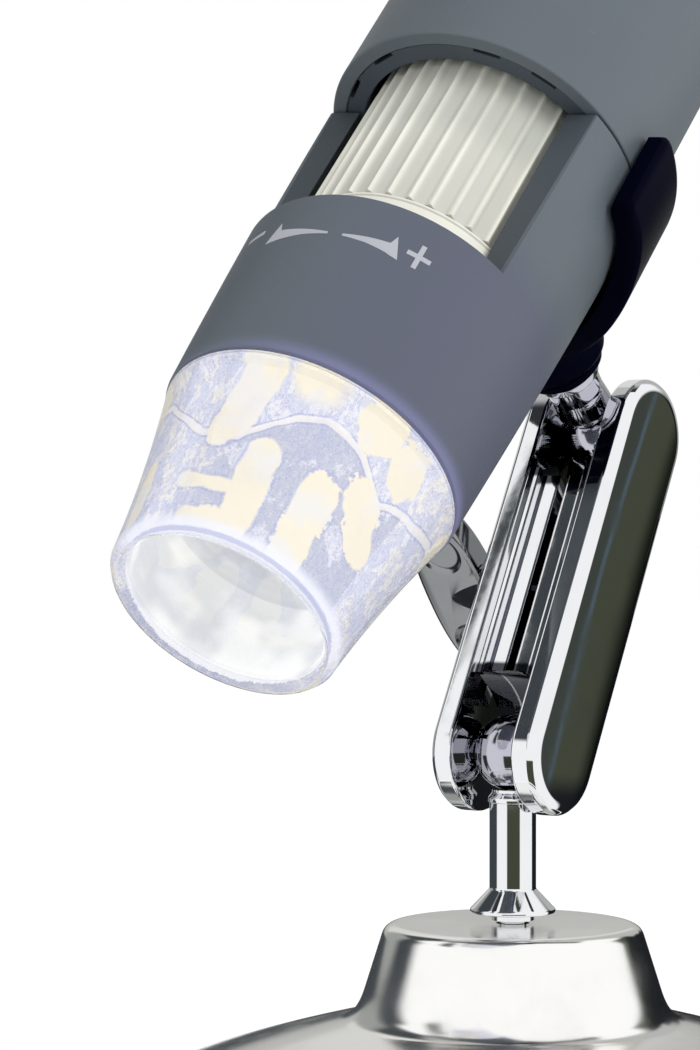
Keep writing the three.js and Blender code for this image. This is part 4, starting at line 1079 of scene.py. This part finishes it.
def markMesh(spans):
    steps = marks["steps"]
    rows = []
    for (lowA, highA), (lowB, highB) in zip(spans, spans[1:]):
        rows += [(Vector(lowA).lerp(Vector(lowB), k / steps), Vector(highA).lerp(Vector(highB), k / steps))
                 for k in range(steps)]
    rows.append([Vector(point) for point in spans[-1]])

    def onSkin(point, lift):
        angle, s = math.radians(point.x), point.y
        radius = skinRadius(s) + lift
        return (-radius * math.cos(angle), -radius * math.sin(angle), s)

    sunk, lift = marks["sunk"], marks["lift"]
    return loftMesh("mark", [[onSkin(low, sunk), onSkin(high, sunk), onSkin(high, lift), onSkin(low, lift)]
                             for low, high in rows])


for name, parts in (("mark_minus", ["minus"]), ("mark_left_arrow", ["leftArrow"]),
                    ("mark_right_arrow", ["rightArrow"]), ("mark_plus", ["plusAcross", "plusAlong"])):
    mark = joined([markMesh(marks[part]) for part in parts], name)
    keepMesh(mark, name, scopeFrame, "markGrey", "microscope", [])
print("marks ready")


# Floor, lamps and world

stage = {"floorHalf": 3.0, "floorColour": (0.9, 0.9, 0.9, 1.0), "floorGlow": 1.15, "floorShare": 0.74,
         "sky": 0.62}


def makeStage():
    bm = bmesh.new()
    bmesh.ops.create_grid(bm, x_segments=1, y_segments=1, size=stage["floorHalf"])
    floor = closeMesh(bm, "floor")
    material, tree = newFinish("paleFloor")
    matte = tree.node("ShaderNodeBsdfDiffuse", None, {"Color": stage["floorColour"]})
    white = tree.node("ShaderNodeEmission", None, {"Color": (1, 1, 1, 1), "Strength": stage["floorGlow"]})
    share = plainRays(tree) * stage["floorShare"]
    shown = tree.node("ShaderNodeMixShader", None, {0: share, 1: matte, 2: white})
    tree.node("ShaderNodeOutputMaterial", None, {"Surface": shown})
    floor.materials.append(material)
    piece = addObject("floor", floor)


def makeLight(name, place, aim, size, power):
    data = bpy.data.lights.new(name, "AREA")
    data.shape = "RECTANGLE"
    data.size, data.size_y = size
    data.energy = power
    light = addObject(name, data)
    light.location = place
    light.rotation_mode = "QUATERNION"
    light.rotation_quaternion = (Vector(aim) - Vector(place)).to_track_quat("-Z", "Y")
    light.visible_glossy = False  # polished surfaces see the boards alone


# Round wall of boards that only polished surfaces see, as round a product table, with a ring of floor and
# a ceiling. Sizes are in metres. Each board of the three rows is where it starts and ends, as a share of a
# turn from +X by +Y, and its colour.
boards = {
    "steps": 180, "inner": 0.039, "radius": 0.12, "floor": 0.0005, "ceiling": 0.20,
    "white": (1.0, 1.0, 1.0), "pale": (0.92, 0.92, 0.92), "grey": (0.76, 0.75, 0.73),
    "brim": (0.66, 0.66, 0.65), "half": (0.52, 0.52, 0.51), "dim": (0.47, 0.475, 0.46),
    "deep": (0.33, 0.34, 0.33), "slate": (0.050, 0.058, 0.066), "olive": (0.060, 0.067, 0.046),
    "black": (0.012, 0.013, 0.016), "nearStripe": (0.080, 0.112, 0.135), "nearBevel": (0.050, 0.058, 0.050),
    "nearEdge": (0.012, 0.014, 0.010), "back": (0.03, 0.032, 0.036),
    "low": [(0.000, 0.092, "black"), (0.104, 0.350, "slate"), (0.362, 0.508, "white"),
            (0.516, 0.684, "olive"), (0.692, 0.888, "white"), (0.898, 1.000, "black")],
    "middle": [(0.000, 0.170, "dim"), (0.200, 0.256, "deep"), (0.282, 0.324, "slate"),
               (0.350, 0.886, "white"), (0.896, 0.928, "olive"), (0.932, 0.966, "black"),
               (0.976, 1.000, "dim")],
    "high": [(0.000, 0.030, "dim"), (0.070, 0.180, "grey"), (0.210, 0.300, "slate"),
             (0.315, 0.940, "white"), (0.965, 1.000, "dim")],
}


def wallMesh():
    bm = bmesh.new()
    steps, radius, floor = boards["steps"], boards["radius"], boards["floor"]
    turns = [2 * math.pi * k / steps for k in range(steps)]
    rings = [[bm.verts.new((r * math.cos(t), r * math.sin(t), z)) for t in turns]
             for r, z in ((boards["inner"], floor), (radius, floor), (radius, boards["ceiling"]))]
    for first, second in zip(rings, rings[1:]):
        for k in range(steps):
            j = (k + 1) % steps
            bm.faces.new((first[k], first[j], second[j], second[k]))
    bm.faces.new(rings[-1])
    return closeMesh(bm, "flag_wall")


def makeFlagWall():
    mesh = wallMesh()
    material, tree = newFinish("boards")
    x, y, z = tree.axes(objectPlace(tree), 1.0)
    turn = (y.maths("ARCTAN2", y, x) / (2 * math.pi) + 1.0).part()

    def row(height):
        stops = []
        for start, stop, colour in boards[height]:
            stops += [(start, boards[colour]), (stop, boards[colour])]
        return tree.node("ShaderNodeValToRGB", {"stops": stops}, {0: turn})

    # a light patch on the floor is for the wing, and the brim sees a board of its own
    out = (x * x + y * y) ** 0.5
    patch = turn.smooth(0.15, 0.20) * turn.smooth(0.36, 0.31) * out.smooth(0.072, 0.050) * (z < 0.001)
    low = tree.mix(patch, row("low"), boards["pale"])
    rim = (z < 0.050) * turn.smooth(0.908, 0.914)
    brimSees = (z > 0.040) * turn.smooth(0.03, 0.06) * turn.smooth(0.19, 0.17)
    # the near plate shows a slate stripe beside its polished bevel, and a darker far edge
    up = z - 0.045
    off = turn - 0.908904 - up * 0.35857 - up * up * 1.451
    near = tree.layered(boards["olive"], [
        (off.smooth(0.0042, 0.0078), boards["nearEdge"]), (off.smooth(0.0, -0.0004), boards["nearBevel"]),
        (abs(off).smooth(0.00042, 0.00022), boards["nearStripe"])])
    middle = tree.layered(row("middle"), [
        (rim.most((z < 0.036) * turn.smooth(0.035, 0.025)), boards["black"]), (brimSees, boards["brim"]),
        (abs(off - 0.002).smooth(0.0090, 0.0080), near)])
    # the near plate's edge shows slate, and the far plate's a white strip with a dark line
    side = turn - 0.368 + (z - 0.1575) * 0.40
    edge = side.smooth(-0.0008, 0.0008) * (side < 0.035)
    high = tree.mix(edge.most(abs(side + 0.0085).smooth(0.0014, 0.0008)), row("high"), boards["slate"])
    behind = x * 0.81 + y * 0.58
    above = tree.layered(boards["back"], [(behind.smooth(0.015, 0.06), boards["half"]),
                                          (behind < 0.0, boards["white"])])
    level = tree.layered(low, [(z.smooth(0.0185, 0.0225), middle), (z.smooth(0.080, 0.100), high),
                               (z > boards["ceiling"] - 0.0005, above)])
    shown = tree.node("ShaderNodeEmission", None, {"Color": level, "Strength": 1.0})
    tree.node("ShaderNodeOutputMaterial", None, {"Surface": shown})
    mesh.materials.append(material)
    wall = addObject("flag_wall", mesh)
    wall.visible_camera = wall.visible_diffuse = wall.visible_transmission = wall.visible_shadow = False


def makeWorld():
    world = bpy.data.worlds.new("studio")
    bpy.context.scene.world = world
    world.use_nodes = True
    tree = Tree(world.node_tree)
    plain, white = [tree.node("ShaderNodeBackground", None, {"Color": (1, 1, 1, 1), "Strength": strength})
                    for strength in (stage["sky"], 1.0)]
    shown = tree.node("ShaderNodeMixShader", None, {0: plainRays(tree), 1: plain, 2: white})
    tree.node("ShaderNodeOutputWorld", None, {"Surface": shown})


makeStage()
makeFlagWall()
makeWorld()
makeLight("keyLight", (-0.05, -0.6, 0.5), (0, 0, 0.07), (0.35, 0.5), 3.0)
makeLight("fillLight", (-0.6, 0.35, 0.3), (0, 0, 0.07), (0.4, 0.5), 0.8)
bpy.context.scene.view_settings.view_transform = "Standard"
print("stage and lights ready")
